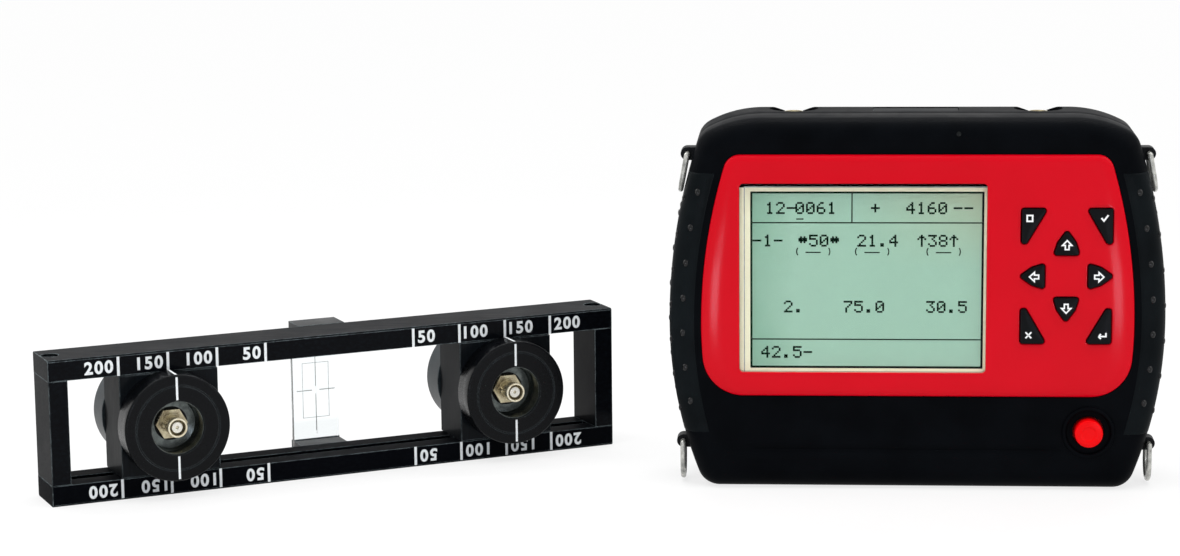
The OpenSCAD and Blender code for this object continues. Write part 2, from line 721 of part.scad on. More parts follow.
// A key's cap passes through the panel and the front wall and ends in a lip behind the wall
module key(i) color("#101214") {
    lip_y = inner_y + flange_gap / 2;
    across(panel_y - key_proud, lip_y) polygon(rounded(key_pts(i), key_r, 0));
    across(lip_y, lip_y + key_flange_t) polygon(rounded(key_pts(i), key_r, key_lip));
}
module power_button() color("#e0101c") {
    lip_y = inner_y + flange_gap;
    post([power_x, power_z], cap_r, front_y - cap_proud, lip_y);
    post([power_x, power_z], cap_flange_r, lip_y, lip_y + cap_flange_t);
}
module power_switch() color("#6a6e72") {
    tip_y = inner_y + flange_gap + cap_flange_t + power_travel + plunger_gap;
    post([power_x, power_z], plunger_r, tip_y, tip_y + plunger_l);
    across(tip_y + plunger_l, main_y) polygon(box_pts(power_x, power_z, switch_w, switch_w));
}
module status_lamp() color("#c8ccc8") post([lamp_x, lamp_z], lamp_r, front_y, front_y + lamp_l);

module strap_lugs() color("#101214") difference() {
    union() {
        lug_feet();
        at_pivots() rotate([90, 0, 0]) cylinder(r = lug_r, h = lug_w, center = true);
    }
    at_pivots() rotate([90, 0, 0]) cylinder(r = wire_r + run_gap, h = lug_w + 2 * over, center = true);
}
// A D-shaped ring that hangs from the straight bar through its lug
module ring(sx, x, z, lean) color("#c4c8cc") translate([sx * x, lug_y, z]) rotate([0, -sx * lean, 0]) {
    rotate([90, 0, 0]) cylinder(r = wire_r, h = 2 * bow_r, center = true);
    for (sy = [-1, 1]) translate([0, sy * bow_r, 0]) {
        sphere(r = wire_r);
        translate([0, 0, -leg_l]) cylinder(r = wire_r, h = leg_l);
    }
    translate([0, 0, -leg_l]) rotate([0, 90, 0]) rotate([0, 0, -90])
        rotate_extrude(angle = 180) translate([bow_r, 0]) circle(r = wire_r);
}
module ring_upper_left() ring(-1, high_pivot_x, high_pivot_z, ring_lean);
module ring_upper_right() ring(1, high_pivot_x, high_pivot_z, ring_lean);
module ring_lower_left() ring(-1, low_pivot_x, low_pivot_z, 0);
module ring_lower_right() ring(1, low_pivot_x, low_pivot_z, 0);

// A coaxial socket that stands up from z = 0, with its thread below
module jack(thread_l, back_nut) difference() {
    union() {
        cylinder(r = nut_flats / sqrt(3), h = nut_t, $fn = 6);
        cylinder(r = jack_thread_r, h = nut_t + socket_collar);
        cylinder(r = barrel_r - barrel_relief, h = jack_l - smooth_l);
        translate([0, 0, jack_l - smooth_l]) cylinder(r = barrel_r, h = smooth_l);
        translate([0, 0, jack_l - smooth_l - stud_r - stud_down]) rotate([0, 90, 0])
            cylinder(r = stud_r, h = 2 * (barrel_r + stud_out), center = true);
        translate([0, 0, -thread_l]) cylinder(r = jack_thread_r, h = thread_l);
        if (back_nut) translate([0, 0, -well_floor_t - nut_t])
            cylinder(r = nut_flats / sqrt(3), h = nut_t, $fn = 6);
    }
    translate([0, 0, nut_t]) cylinder(r = barrel_bore_r, h = jack_l);
}
module jack_core() translate([0, 0, nut_t]) difference() {
    cylinder(r = core_r, h = jack_l - nut_t - core_down);
    translate([0, 0, smooth_l]) cylinder(r = core_hole_r, h = jack_l);
}
module at_well(sx) translate([sx * jack_x, jack_y, well_floor_z]) children();
module transmit_jack() color("#c8a860") at_well(-1) jack(well_floor_t * 2, true);
module receive_jack() color("#c8a860") at_well(1) jack(well_floor_t * 2, true);
module jack_cores() color("#f0f0ea") for (sx = [-1, 1]) at_well(sx) jack_core();

module at_port(x) translate([x, port_y, port_floor_z - port_floor_t]) children();
module data_socket() color("#b8bcc0") at_port(-port_pitch) difference() {
    union() {
        translate([-data_w / 2, -data_d / 2, -socket_below])
            cube([data_w, data_d, socket_below + port_floor_t + socket_collar]);
        translate([-data_w / 2 - socket_collar, -data_d / 2 - socket_collar, -socket_collar])
            cube([data_w + 2 * socket_collar, data_d + 2 * socket_collar, socket_collar]);
    }
    translate([-data_w / 2 + socket_collar / 2, -data_d / 2 + socket_collar / 2, 0])
        cube([data_w - socket_collar, data_d - socket_collar, case_h]);
}
module charging_socket() color("#202224") at_port(port_pitch) {
    difference() {
        union() {
            translate([0, 0, -socket_below])
                cylinder(r = charge_r, h = socket_below + port_floor_t + socket_collar);
            translate([0, 0, -socket_collar]) cylinder(r = charge_r + socket_collar, h = socket_collar);
        }
        translate([0, 0, -socket_below / 2]) cylinder(r = charge_bore_r, h = case_h);
    }
    translate([0, 0, -socket_below / 2]) cylinder(r = charge_pin_r, h = socket_below / 2 + port_floor_t);
}
module port_flap() color("#101214") difference() {
    union() {
        translate([-port_w / 2 + flap_gap, port_y - port_d / 2 + flap_gap, flap_top_z - flap_t])
            cube([port_w - 2 * flap_gap, hinge_y - port_y + port_d / 2 - flap_gap, flap_t]);
        translate([0, hinge_y, hinge_z]) rotate([0, 90, 0])
            cylinder(r = barrel_hinge_r, h = port_w - 2 * flap_gap, center = true);
    }
    translate([0, hinge_y, hinge_z]) rotate([0, 90, 0])
        cylinder(r = pin_r + run_gap, h = port_w, center = true);
}
module flap_pin() color("#b8bcc0") translate([0, hinge_y, hinge_z]) rotate([0, 90, 0])
    cylinder(r = pin_r, h = port_w + 2 * port_wall - fit_gap, center = true);

module on_holder() translate([holder_x, holder_y, 0]) rotate([0, 0, holder_turn]) children();
module beam(x0, x1) translate([x0, 0, 0]) rotate([90, 0, 90]) linear_extrude(x1 - x0) children();

// A rail with chamfered edges lies with its guide groove upwards, as the bottom rail does
module rail() difference() {
    beam(-bar_l / 2, bar_l / 2) polygon([[rail_chamfer, 0], [bar_d - rail_chamfer, 0], [bar_d, rail_chamfer],
        [bar_d, rail_t], [0, rail_t], [0, rail_chamfer]]);
    translate([-bar_l / 2 + end_t, groove_y - groove_w / 2, rail_t - groove_d])
        cube([bar_l - 2 * end_t, groove_w, groove_d + over]);
    for (sx = [-1, 1]) translate([sx * (bar_l - end_t) / 2, groove_y, 0]) {
        translate([0, 0, -over]) cylinder(r = screw_bar_r + fit_gap, h = rail_t + 2 * over);
        translate([0, 0, -over]) cylinder(r = bar_head_r + fit_gap, h = bar_head_sink + over);
    }
    for (sx = [-1, 1]) translate([sx * block_screw_x, bar_d - block_screw_bite, rail_t / 2])
        rotate([-90, 0, 0]) cylinder(r = block_screw_r, h = block_screw_bite + over);
}
module upside_down() translate([0, 0, bar_h]) mirror([0, 0, 1]) children();
module bottom_rail() color("#2b3438") on_holder() rail();
module top_rail() color("#2b3438") on_holder() upside_down() rail();
module end_plate(sx) on_holder() translate([sx * (bar_l - end_t) / 2, 0, rail_t]) difference() {
    translate([-end_t / 2, 0, 0]) cube([end_t, bar_d, opening_h]);
    for (z = [0, opening_h]) translate([0, groove_y, z])
        cylinder(r = screw_bar_r, h = 2 * bar_screw_l - 2 * (rail_t - bar_head_sink), center = true);
}
module left_end() color("#2b3438") end_plate(-1);
module right_end() color("#2b3438") end_plate(1);
module frame_screw() difference() {
    union() {
        cylinder(r = screw_bar_r, h = bar_screw_l);
        translate([0, 0, -bar_head_l]) cylinder(r = bar_head_r, h = bar_head_l);
    }
    translate([0, 0, -bar_head_l - over]) cylinder(r = hex_r, h = hex_d + over, $fn = 6);
}
module frame_screws() color("#3a3e42") on_holder() {
    for (sx = [-1, 1]) translate([sx * (bar_l - end_t) / 2, groove_y, 0]) {
        translate([0, 0, bar_head_sink]) frame_screw();
        upside_down() translate([0, 0, bar_head_sink]) frame_screw();
    }
    for (sx = [-1, 1], z = [rail_t / 2, bar_h - rail_t / 2])
        translate([sx * block_screw_x, bar_d - block_screw_bite, z]) rotate([-90, 0, 0]) difference() {
            cylinder(r = block_screw_r, h = block_screw_bite + centre_d);
            translate([0, 0, block_screw_bite + centre_d - hex_d])
                cylinder(r = block_screw_r / 2, h = hex_d + over, $fn = 6);
        }
}
module centre_block() difference() {
    translate([-centre_w / 2, bar_d, 0]) cube([centre_w, centre_d, rail_t]);
    translate([-centre_w, sight_y - sight_gap, rail_t - sight_bite])
        cube([2 * centre_w, sight_t + 2 * sight_gap, sight_bite + over]);
    for (sx = [-1, 1]) translate([sx * block_screw_x, bar_d - over, rail_t / 2]) rotate([-90, 0, 0])
        cylinder(r = block_screw_r, h = centre_d + 2 * over);
}
module lower_centre_block() color("#20262a") on_holder() centre_block();
module upper_centre_block() color("#20262a") on_holder() upside_down() centre_block();
module sight_plate() color("#e8f0f2", 0.3) on_holder() difference() {
    translate([-centre_w / 2 + sight_gap, sight_y, rail_t - sight_bite + sight_gap])
        cube([centre_w - 2 * sight_gap, sight_t, opening_h + 2 * sight_bite - 2 * sight_gap]);
    translate([-cross_w / 2, sight_y - over, rail_t + sight_bite])
        cube([cross_w, over + cross_cut, opening_h - 2 * sight_bite]);
    for (x = [-cross_arm / 2, cross_gap / 2]) translate([x, sight_y - over, bar_h / 2 - cross_w / 2])
        cube([(cross_arm - cross_gap) / 2, over + cross_cut, cross_w]);
}
module scale_marks() color("#e6e8e8") on_holder() for (sx = [-1, 1], m = marks, z = [0, bar_h - rail_t])
    translate([sx * m - mark_w / 2, -mark_t, z + rail_chamfer]) cube([mark_w, mark_t, rail_t - rail_chamfer]);

module at_probe(sx) on_holder() translate([sx * probe_x, 0, bar_h / 2]) children();
// A round piece along Y from y0 to y1, on the probe's axis
module round_y(r, y0, y1) translate([0, y1, 0]) rotate([90, 0, 0]) cylinder(r = r, h = y1 - y0);
module slider(sx) color("#1c2226") at_probe(sx) difference() {
    union() {
        translate([-block_w / 2, block_y0, -block_h / 2]) cube([block_w, block_y1 - block_y0, block_h]);
        translate([-block_w / 2, groove_y - tongue_w / 2, -block_h / 2 - tongue_d])
            cube([block_w, tongue_w, block_h + 2 * tongue_d]);
    }
    round_y(stem_r, block_y0 - over, block_y1 + over);
}
module left_slider() slider(-1);
module right_slider() slider(1);
module head(sx) color("#14181a") at_probe(sx) difference() {
    rotate([90, 0, 0]) rotate_extrude() polygon([[0, -block_y0], [head_r, -block_y0],
        [head_r, -head_y0 - head_chamfer], [head_r - head_chamfer, -head_y0], [0, -head_y0]]);
    round_y(recess_r, head_y0 - over, recess_floor_y);
    round_y(jack_thread_r, head_y0, block_y0 + over);
    difference() {
        round_y(head_groove_r + head_groove_w / 2, head_y0 - over, head_y0 + head_groove_d);
        round_y(head_groove_r - head_groove_w / 2, head_y0 - 2 * over, head_y0 + over);
    }
}
module left_head() head(-1);
module right_head() head(1);
module transducer(sx) color("#2c363a") at_probe(sx) difference() {
    union() {
        round_y(stem_r, block_y0, block_y1);
        round_y(head_r, block_y1, rear_y1);
    }
    round_y(jack_thread_r, block_y0 - over, block_y0 + nut_back_l);
    round_y(wear_r, rear_y1 - wear_sink, rear_y1 + over);
}
module left_transducer() transducer(-1);
module right_transducer() transducer(1);
module wear_plate(sx) color("#9a9ea0") at_probe(sx)
    round_y(wear_r, rear_y1 - wear_sink, rear_y1 - wear_sink + wear_t);
module left_wear_plate() wear_plate(-1);
module right_wear_plate() wear_plate(1);
module at_recess(sx) at_probe(sx) translate([0, recess_floor_y, 0]) rotate([90, 0, 0]) children();
module left_jack() color("#c8a860") at_recess(-1) jack(nut_back_l, false);
module right_jack() color("#c8a860") at_recess(1) jack(nut_back_l, false);
module left_jack_core() color("#f0f0ea") at_recess(-1) jack_core();
module right_jack_core() color("#f0f0ea") at_recess(1) jack_core();

front_shell();
rear_shell();
red_fascia();
left_grip();
right_grip();
case_gasket();
display_window();
display_module();
main_board();
keypad_board();
pulser_board();
board_spacers();
board_screws();
case_screws();
battery_pack();
battery_cover();
key(0);  // key_up
key(1);  // key_left
key(2);  // key_down
key(3);  // key_right
key(4);  // key_top_left
key(5);  // key_top_right
key(6);  // key_bottom_left
key(7);  // key_bottom_right
power_button();
power_switch();
status_lamp();
strap_lugs();
ring_upper_left();
ring_upper_right();
ring_lower_left();
ring_lower_right();
transmit_jack();
receive_jack();
jack_cores();
data_socket();
charging_socket();
port_flap();
flap_pin();
top_rail();
bottom_rail();
left_end();
right_end();
frame_screws();
upper_centre_block();
lower_centre_block();
sight_plate();
scale_marks();
left_slider();
left_head();
left_transducer();
left_wear_plate();
left_jack();
left_jack_core();
right_slider();
right_head();
right_transducer();
right_wear_plate();
right_jack();
right_jack_core();
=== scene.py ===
"""Looks of a crack depth gauge: an instrument case with a red panel, and a probe holder.

Sizes are in millimetres in the part's own frame, X to the right, Y away from the viewer and Z up,
and become metres when a mesh is put in.
"""

from __future__ import annotations

import json
import logging
import math
from collections.abc import Callable, Sequence
from dataclasses import dataclass
from enum import Enum

import bmesh
import bpy
import numpy as np
from mathutils import Matrix, Vector
from mathutils.geometry import delaunay_2d_cdt

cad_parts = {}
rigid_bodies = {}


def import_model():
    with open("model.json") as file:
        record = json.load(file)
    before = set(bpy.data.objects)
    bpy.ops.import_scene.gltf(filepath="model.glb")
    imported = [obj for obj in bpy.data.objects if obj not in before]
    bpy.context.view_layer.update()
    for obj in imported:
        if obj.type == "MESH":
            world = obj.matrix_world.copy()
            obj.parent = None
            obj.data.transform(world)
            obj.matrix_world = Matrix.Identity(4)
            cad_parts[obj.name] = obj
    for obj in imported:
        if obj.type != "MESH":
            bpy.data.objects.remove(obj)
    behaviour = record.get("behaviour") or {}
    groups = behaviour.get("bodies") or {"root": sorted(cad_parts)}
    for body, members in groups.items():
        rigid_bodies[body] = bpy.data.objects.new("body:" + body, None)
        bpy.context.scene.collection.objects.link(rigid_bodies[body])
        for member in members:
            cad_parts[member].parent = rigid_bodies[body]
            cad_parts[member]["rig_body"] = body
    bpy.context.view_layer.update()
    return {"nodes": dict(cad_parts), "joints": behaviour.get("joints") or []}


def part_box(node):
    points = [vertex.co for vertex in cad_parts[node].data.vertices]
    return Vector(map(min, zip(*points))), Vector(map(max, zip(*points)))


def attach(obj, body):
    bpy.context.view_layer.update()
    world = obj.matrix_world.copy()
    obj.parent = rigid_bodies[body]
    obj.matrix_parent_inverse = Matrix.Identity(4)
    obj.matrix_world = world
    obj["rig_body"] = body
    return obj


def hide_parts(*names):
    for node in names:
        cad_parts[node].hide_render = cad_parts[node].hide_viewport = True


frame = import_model()

log = logging.getLogger("gauge")
HOST = "host"
MM = 0.001  # metres in a millimetre
MERGE = 2e-6  # metres within which points count as one
POLE = 0.001  # millimetres of radius that stand for a pole
CREASE = 35.0  # degrees above which an edge stays sharp


# Shapes


@dataclass
class Shape:
    """Points (N x 3, millimetres) and the faces that join them."""

    points: np.ndarray
    faces: list[tuple[int, ...]]

    def mapped(self, place: Callable[[np.ndarray], np.ndarray]) -> Shape:
        """The same shape with its points sent through a function of the whole array."""
        return Shape(place(self.points), self.faces)


def join(shapes: Sequence[Shape]) -> Shape:
    """Puts several shapes into one.

    Args:
        shapes: The shapes, each with its own point numbers.

    Returns:
        One shape; the faces of each are shifted by the count of points before it.
    """
    points: list[np.ndarray] = []
    faces: list[tuple[int, ...]] = []
    start = 0
    for shape in shapes:
        points.append(shape.points)
        faces += [tuple(i + start for i in face) for face in shape.faces]
        start += len(shape.points)
    return Shape(np.concatenate(points), faces)


def loft(rings: np.ndarray, caps: bool = True, looped: bool = False) -> Shape:
    """Skins a stack of closed rings with the same number of points.

    Point (i, j) is joined to (i, j + 1) round its ring and to (i + 1, j) on the next ring.

    Args:
        rings: Array of rings x points x 3.
        caps: Whether the first and last ring are closed with one face each.
        looped: Whether the last ring is joined back to the first.

    Returns:
        The skin.
    """
    rows, count = rings.shape[:2]
    top = rows if looped else rows - 1
    i, j = (a.ravel() for a in np.meshgrid(np.arange(top), np.arange(count), indexing="ij"))
    k, m = (j + 1) % count, (i + 1) % rows
    cells = np.stack([i * count + j, i * count + k, m * count + k, m * count + j], 1)
    faces = list(map(tuple, cells.tolist()))
    if caps and not looped:
        faces += [tuple(range(count - 1, -1, -1)), tuple((rows - 1) * count + np.arange(count))]
    return Shape(rings.reshape(-1, 3), faces)


def sheet(grid: np.ndarray) -> Shape:
    """Skins an open grid of rows x columns x 3 points with one four-sided face to a cell."""
    rows, count = grid.shape[:2]
    i, j = (a.ravel() for a in np.meshgrid(np.arange(rows - 1), np.arange(count - 1), indexing="ij"))
    a = i * count + j
    faces = list(map(tuple, np.stack([a, a + 1, a + count + 1, a + count], 1).tolist()))
    return Shape(grid.reshape(-1, 3), faces)


def turned(profile: Sequence[tuple[float, float]], centre: Sequence[float], sides: int = 64,
           hollow: bool = False) -> Shape:
    """A body turned about an axis along Y.

    Ring i is a circle of radius r(i) at depth y(i); a radius of nearly zero becomes its pole.

    Args:
        profile: Pairs of radius and depth, from one pole or rim to the other.
        centre: X and Z of the axis.
        sides: Number of points round each ring.
        hollow: Whether the profile's end is joined to its start, in place of a face at each end.

    Returns:
        The turned skin, closed.
    """
    radius, depth = np.array(profile, float).T
    angle = np.linspace(0, 2 * np.pi, sides, endpoint=False)
    ring = np.stack([np.cos(angle), np.zeros(sides), np.sin(angle)], 1)
    rings = radius[:, None, None] * ring + depth[:, None, None] * np.array([0, 1, 0])
    return loft(rings + np.array([centre[0], 0, centre[1]]), looped=hollow)


def fillet(start: Sequence[float], corner: Sequence[float], end: Sequence[float],
           steps: int = 4) -> list[tuple[float, float]]:
    """Rounds a corner with a curve of three control points: (1-t)^2 start + 2t(1-t) corner + t^2 end."""
    t = np.linspace(0, 1, steps + 1)[:, None]
    a, b, c = (np.array(p, float) for p in (start, corner, end))
    return list(map(tuple, ((1 - t) ** 2 * a + 2 * t * (1 - t) * b + t**2 * c).tolist()))


def rounded(corners: Sequence[Sequence[float]], radius: float, grow: float = 0.0,
            steps: int = 8) -> np.ndarray:
    """A convex outline with rounded corners, grown evenly all round.

    Each corner becomes an arc of radius + grow about the point that lies radius inside both edges.

    Args:
        corners: X and Z of the corners, anticlockwise.
        radius: Radius of the rounding.
        grow: How far the outline is grown, or shrunk if negative.
        steps: Number of steps round each corner.

    Returns:
        Array of points x 2.
    """
    p = np.array(corners, float)
    before, after = p - np.roll(p, 1, 0), np.roll(p, -1, 0) - p
    e1, e2 = (e / np.linalg.norm(e, axis=1, keepdims=True) for e in (before, after))
    turn = np.arccos(np.clip((e1 * e2).sum(1), -1, 1))
    bisector = (e2 - e1) / np.linalg.norm(e2 - e1, axis=1, keepdims=True)
    centre = p + bisector * (radius / np.cos(turn / 2))[:, None]
    a0 = np.arctan2(-e1[:, 0], e1[:, 1])
    angle = a0[:, None] + turn[:, None] * np.linspace(0, 1, steps + 1)
    return (centre[:, None] + (radius + grow) * np.stack([np.cos(angle), np.sin(angle)], 2)).reshape(-1, 2)


def oblong(x: float, z: float, w: float, h: float) -> list[tuple[float, float]]:
    """The four corners of an upright rectangle about its centre, anticlockwise."""
    return [(x - w / 2, z - h / 2), (x + w / 2, z - h / 2), (x + w / 2, z + h / 2), (x - w / 2, z + h / 2)]


def at_depth(outline: np.ndarray, depth: float | np.ndarray) -> np.ndarray:
    """Lifts an outline of X and Z into space at a depth, one for all points or one for each."""
    return np.stack([outline[:, 0], np.broadcast_to(depth, len(outline)), outline[:, 1]], 1)


def filled(outlines: Sequence[np.ndarray], depth: float | Callable[[np.ndarray], np.ndarray],
           facing_back: bool = False, inner: np.ndarray | None = None) -> Shape:
    """A face with holes, cut into triangles.

    A triangle is kept where a line from its centre to the right crosses the outlines an odd
    number of times.

    Args:
        outlines: The outer outline and then the holes, each points x 2.
        depth: Depth at which the face lies, or a function that gives it at an array of X and Z.
        facing_back: Whether the face looks towards the back.
        inner: More points for the triangles of a curved face to meet in.

    Returns:
        The triangles.
    """
    flat = np.concatenate([*outlines, *([] if inner is None else [inner])])
    points = at_depth(flat, depth(flat) if callable(depth) else depth)
    starts = np.cumsum([0, *(len(o) for o in outlines)])
    edges = np.concatenate([np.stack([np.arange(a, b), np.roll(np.arange(a, b), -1)], 1)
                            for a, b in zip(starts, starts[1:])])
    _, _, faces, sources, _, _ = delaunay_2d_cdt([Vector(p) for p in flat], edges.tolist(), [], 0, 1e-5)
    corners = np.array([[sources[v][0] for v in face] for face in faces])
    centre, (a, b) = flat[corners].mean(1)[:, None], (flat[edges[:, k]][None] for k in (0, 1))
    spans = (a[..., 1] > centre[..., 1]) != (b[..., 1] > centre[..., 1])
    rise = np.where(b[..., 1] == a[..., 1], 1, b[..., 1] - a[..., 1])
    right = centre[..., 0] < a[..., 0] + (b[..., 0] - a[..., 0]) * (centre[..., 1] - a[..., 1]) / rise
    corners = corners[(spans & right).sum(1) % 2 == 1]
    p, q, r = (points[corners[:, k]] for k in range(3))
    wrong = (np.cross(q - p, r - p)[:, 1] < 0) == facing_back
    corners[wrong] = corners[wrong][:, ::-1]
    return Shape(points, list(map(tuple, corners.tolist())))


def plate(outlines: Sequence[np.ndarray], y0: float, y1: float) -> Shape:
    """A flat plate with holes from depth y0 to y1, with its walls."""
    walls = [loft(np.stack([at_depth(o, y0), at_depth(o, y1)]), caps=False) for o in outlines]
    return join([filled(outlines, y0), filled(outlines, y1, True), *walls])


def brick(lo: Sequence[float], hi: Sequence[float]) -> Shape:
    """A six-sided block between its lowest and highest corner."""
    ring = at_depth(np.array([(lo[0], lo[2]), (hi[0], lo[2]), (hi[0], hi[2]), (lo[0], hi[2])]), 0.0)
    return loft(np.stack([ring + [0, lo[1], 0], ring + [0, hi[1], 0]]))


def stroke(path: np.ndarray, width: float, depth: Callable[[np.ndarray], np.ndarray], thick: float = 0.12,
           closed: bool = False) -> Shape:
    """A printed line of even width that lies on a surface.

    Each point of the path is set out half the width to both sides along the mitre of its two
    neighbours, at the surface's depth; a second layer lies behind it.

    Args:
        path: X and Z of the line's points.
        width: Width of the line.
        depth: Gives the surface's depth at an array of X and Z.
        thick: How far the line reaches into the surface.
        closed: Whether the line returns to its start.

    Returns:
        The line as a closed ribbon.
    """
    ahead = np.roll(path, -1, 0) - path
    behind = path - np.roll(path, 1, 0)
    if not closed:
        ahead[-1], behind[0] = behind[-1], ahead[0]
    ahead /= np.linalg.norm(ahead, axis=1, keepdims=True)
    behind /= np.linalg.norm(behind, axis=1, keepdims=True)
    normal = np.stack([-(ahead + behind)[:, 1], (ahead + behind)[:, 0]], 1)
    normal /= np.linalg.norm(normal, axis=1, keepdims=True)
    reach = np.clip((normal * np.stack([-ahead[:, 1], ahead[:, 0]], 1)).sum(1), 0.4, 1)
    side = normal * (width / 2 / reach)[:, None]
    left, right = path + side, path - side
    rings = np.stack([at_depth(left, depth(left) - 0.03), at_depth(right, depth(right) - 0.03),
                      at_depth(right, depth(right) + thick), at_depth(left, depth(left) + thick)], 1)
    return loft(rings, looped=closed)


def mesh_of(name: str, shape: Shape, merge: bool = True) -> bpy.types.Mesh:
    """Makes a mesh of a shape, in metres and with its faces outwards.

    Args:
        name: Name of the mesh.
        shape: Its points in millimetres and its faces.
        merge: Whether doubled points and faces without area are dropped.

    Returns:
        The mesh.
    """
    mesh = bpy.data.meshes.new(name)
    mesh.from_pydata((shape.points * MM).tolist(), [], shape.faces)
    work = bmesh.new()
    work.from_mesh(mesh)
    if merge:
        bmesh.ops.remove_doubles(work, verts=work.verts, dist=MERGE)
        bmesh.ops.dissolve_degenerate(work, edges=work.edges, dist=MERGE / 2)
    bmesh.ops.recalc_face_normals(work, faces=work.faces)
    work.to_mesh(mesh)
    work.free()
    return mesh


def put(name: str, shape: Shape, finish: bpy.types.Material, body: str = HOST, stands_for: Sequence[str] = (),
        slot: str = "", crease: float = CREASE) -> bpy.types.Object:
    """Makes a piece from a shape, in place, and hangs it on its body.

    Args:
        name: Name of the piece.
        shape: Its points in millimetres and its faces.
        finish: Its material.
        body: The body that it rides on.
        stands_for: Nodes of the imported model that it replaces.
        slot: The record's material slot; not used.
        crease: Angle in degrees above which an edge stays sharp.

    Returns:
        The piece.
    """
    return dress(mesh_of(name, shape), name, finish, body, stands_for, slot, crease)


def dress(mesh: bpy.types.Mesh, name: str, finish: bpy.types.Material, body: str, stands_for: Sequence[str],
          slot: str, crease: float) -> bpy.types.Object:
    """Makes the object of a finished mesh, with its finish, smoothness and body, and reports it."""
    mesh.validate()
    mesh.shade_smooth()
    mesh.set_sharp_from_angle(angle=math.radians(crease))
    piece = bpy.data.objects.new(name, mesh)
    bpy.context.scene.collection.objects.link(piece)
    mesh.materials.clear()
    mesh.materials.append(finish)
    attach(piece, body)
    if stands_for:
        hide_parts(*stands_for)
    log.info("%s: %d faces on %s", name, len(mesh.polygons), body)
    return piece


def cut(piece: bpy.types.Object, cutters: Sequence[Shape]) -> None:
    """Cuts closed shapes out of a piece and keeps the result as its mesh."""
    made = []
    for shape in cutters:
        tool = bpy.data.objects.new("cutter", mesh_of("cutter", shape, merge=False))
        bpy.context.scene.collection.objects.link(tool)
        change = piece.modifiers.new("cut", "BOOLEAN")
        change.object, change.operation, change.solver = tool, "DIFFERENCE", "EXACT"
        made.append(tool)
    bpy.context.view_layer.update()
    done = bpy.data.meshes.new_from_object(piece.evaluated_get(bpy.context.evaluated_depsgraph_get()))
    piece.modifiers.clear()
    piece.data = done
    for tool in made:
        bpy.data.objects.remove(tool)
    done.shade_smooth()
    done.set_sharp_from_angle(angle=math.radians(CREASE))


def refined(node: str, finish: bpy.types.Material, edge: float, slot: str,
            crease: float = 32.0) -> bpy.types.Object:
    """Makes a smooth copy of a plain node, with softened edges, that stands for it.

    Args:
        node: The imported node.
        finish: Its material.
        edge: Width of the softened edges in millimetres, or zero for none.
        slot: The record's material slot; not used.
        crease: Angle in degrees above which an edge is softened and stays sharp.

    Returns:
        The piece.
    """
    source = frame["nodes"][node]
    mesh = source.data.copy()
    mesh.name = node + "_skin"
    work = bmesh.new()
    work.from_mesh(mesh)
    bmesh.ops.remove_doubles(work, verts=work.verts, dist=MERGE)
    bmesh.ops.dissolve_limit(work, angle_limit=math.radians(0.6), verts=work.verts, edges=work.edges)
    work.to_mesh(mesh)
    work.free()
    for layer in list(mesh.attributes):
        if layer.name in ("custom_normal", "sharp_face"):
            mesh.attributes.remove(layer)
    piece = dress(mesh, node + "_skin", finish, source["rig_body"], [node], slot, crease)
    if edge:
        soft = piece.modifiers.new("edges", "BEVEL")
        soft.width, soft.segments, soft.limit_method = edge * MM, 2, "ANGLE"
        soft.angle_limit, soft.harden_normals = math.radians(crease), True
    return piece


# Finishes


def tone(r: float, g: float, b: float) -> tuple[float, float, float, float]:
    """A colour given as screen values from 0 to 255, as the shader's linear values."""
    c = np.array([r, g, b]) / 255
    linear = np.where(c <= 0.04045, c / 12.92, ((c + 0.055) / 1.055) ** 2.4)
    return (*linear.tolist(), 1.0)


class Nodes:
    """Adds nodes to one tree, sets their inputs and links them."""

    def __init__(self, tree: bpy.types.NodeTree) -> None:
        """Takes the tree."""
        self.tree = tree

    def node(self, kind: str, inputs: dict[str | int, object] | None = None,
             **settings: object) -> bpy.types.Node:
        """Adds a node.

        Args:
            kind: The node's type.
            inputs: Values or sockets for its inputs, by name or number.
            **settings: The node's own settings.

        Returns:
            The node.
        """
        made = self.tree.nodes.new(kind)
        for key, value in settings.items():
            setattr(made, key, value)
        for key, value in (inputs or {}).items():
            self.feed(made.inputs[key], value)
        return made

    def feed(self, socket: bpy.types.NodeSocket, value: object) -> None:
        """Links another socket to an input, or sets the input to a value."""
        if isinstance(value, bpy.types.NodeSocket):
            self.tree.links.new(value, socket)
        else:
            socket.default_value = value

    def maths(self, kind: str, a: object, b: object = 0.0) -> bpy.types.NodeSocket:
        """Works out one number from two."""
        return self.node("ShaderNodeMath", {0: a, 1: b}, operation=kind).outputs[0]

    def looked_at(self) -> bpy.types.NodeSocket:
        """1 for camera, glossy and transmission rays, but 0 once a ray has met a matt face."""
        path = self.node("ShaderNodeLightPath").outputs
        clear = self.maths("MAXIMUM", path["Is Camera Ray"], path["Is Transmission Ray"])
        looked = self.maths("MAXIMUM", clear, path["Is Glossy Ray"])
        return self.maths("MULTIPLY", looked, self.maths("LESS_THAN", path["Diffuse Depth"], 0.5))


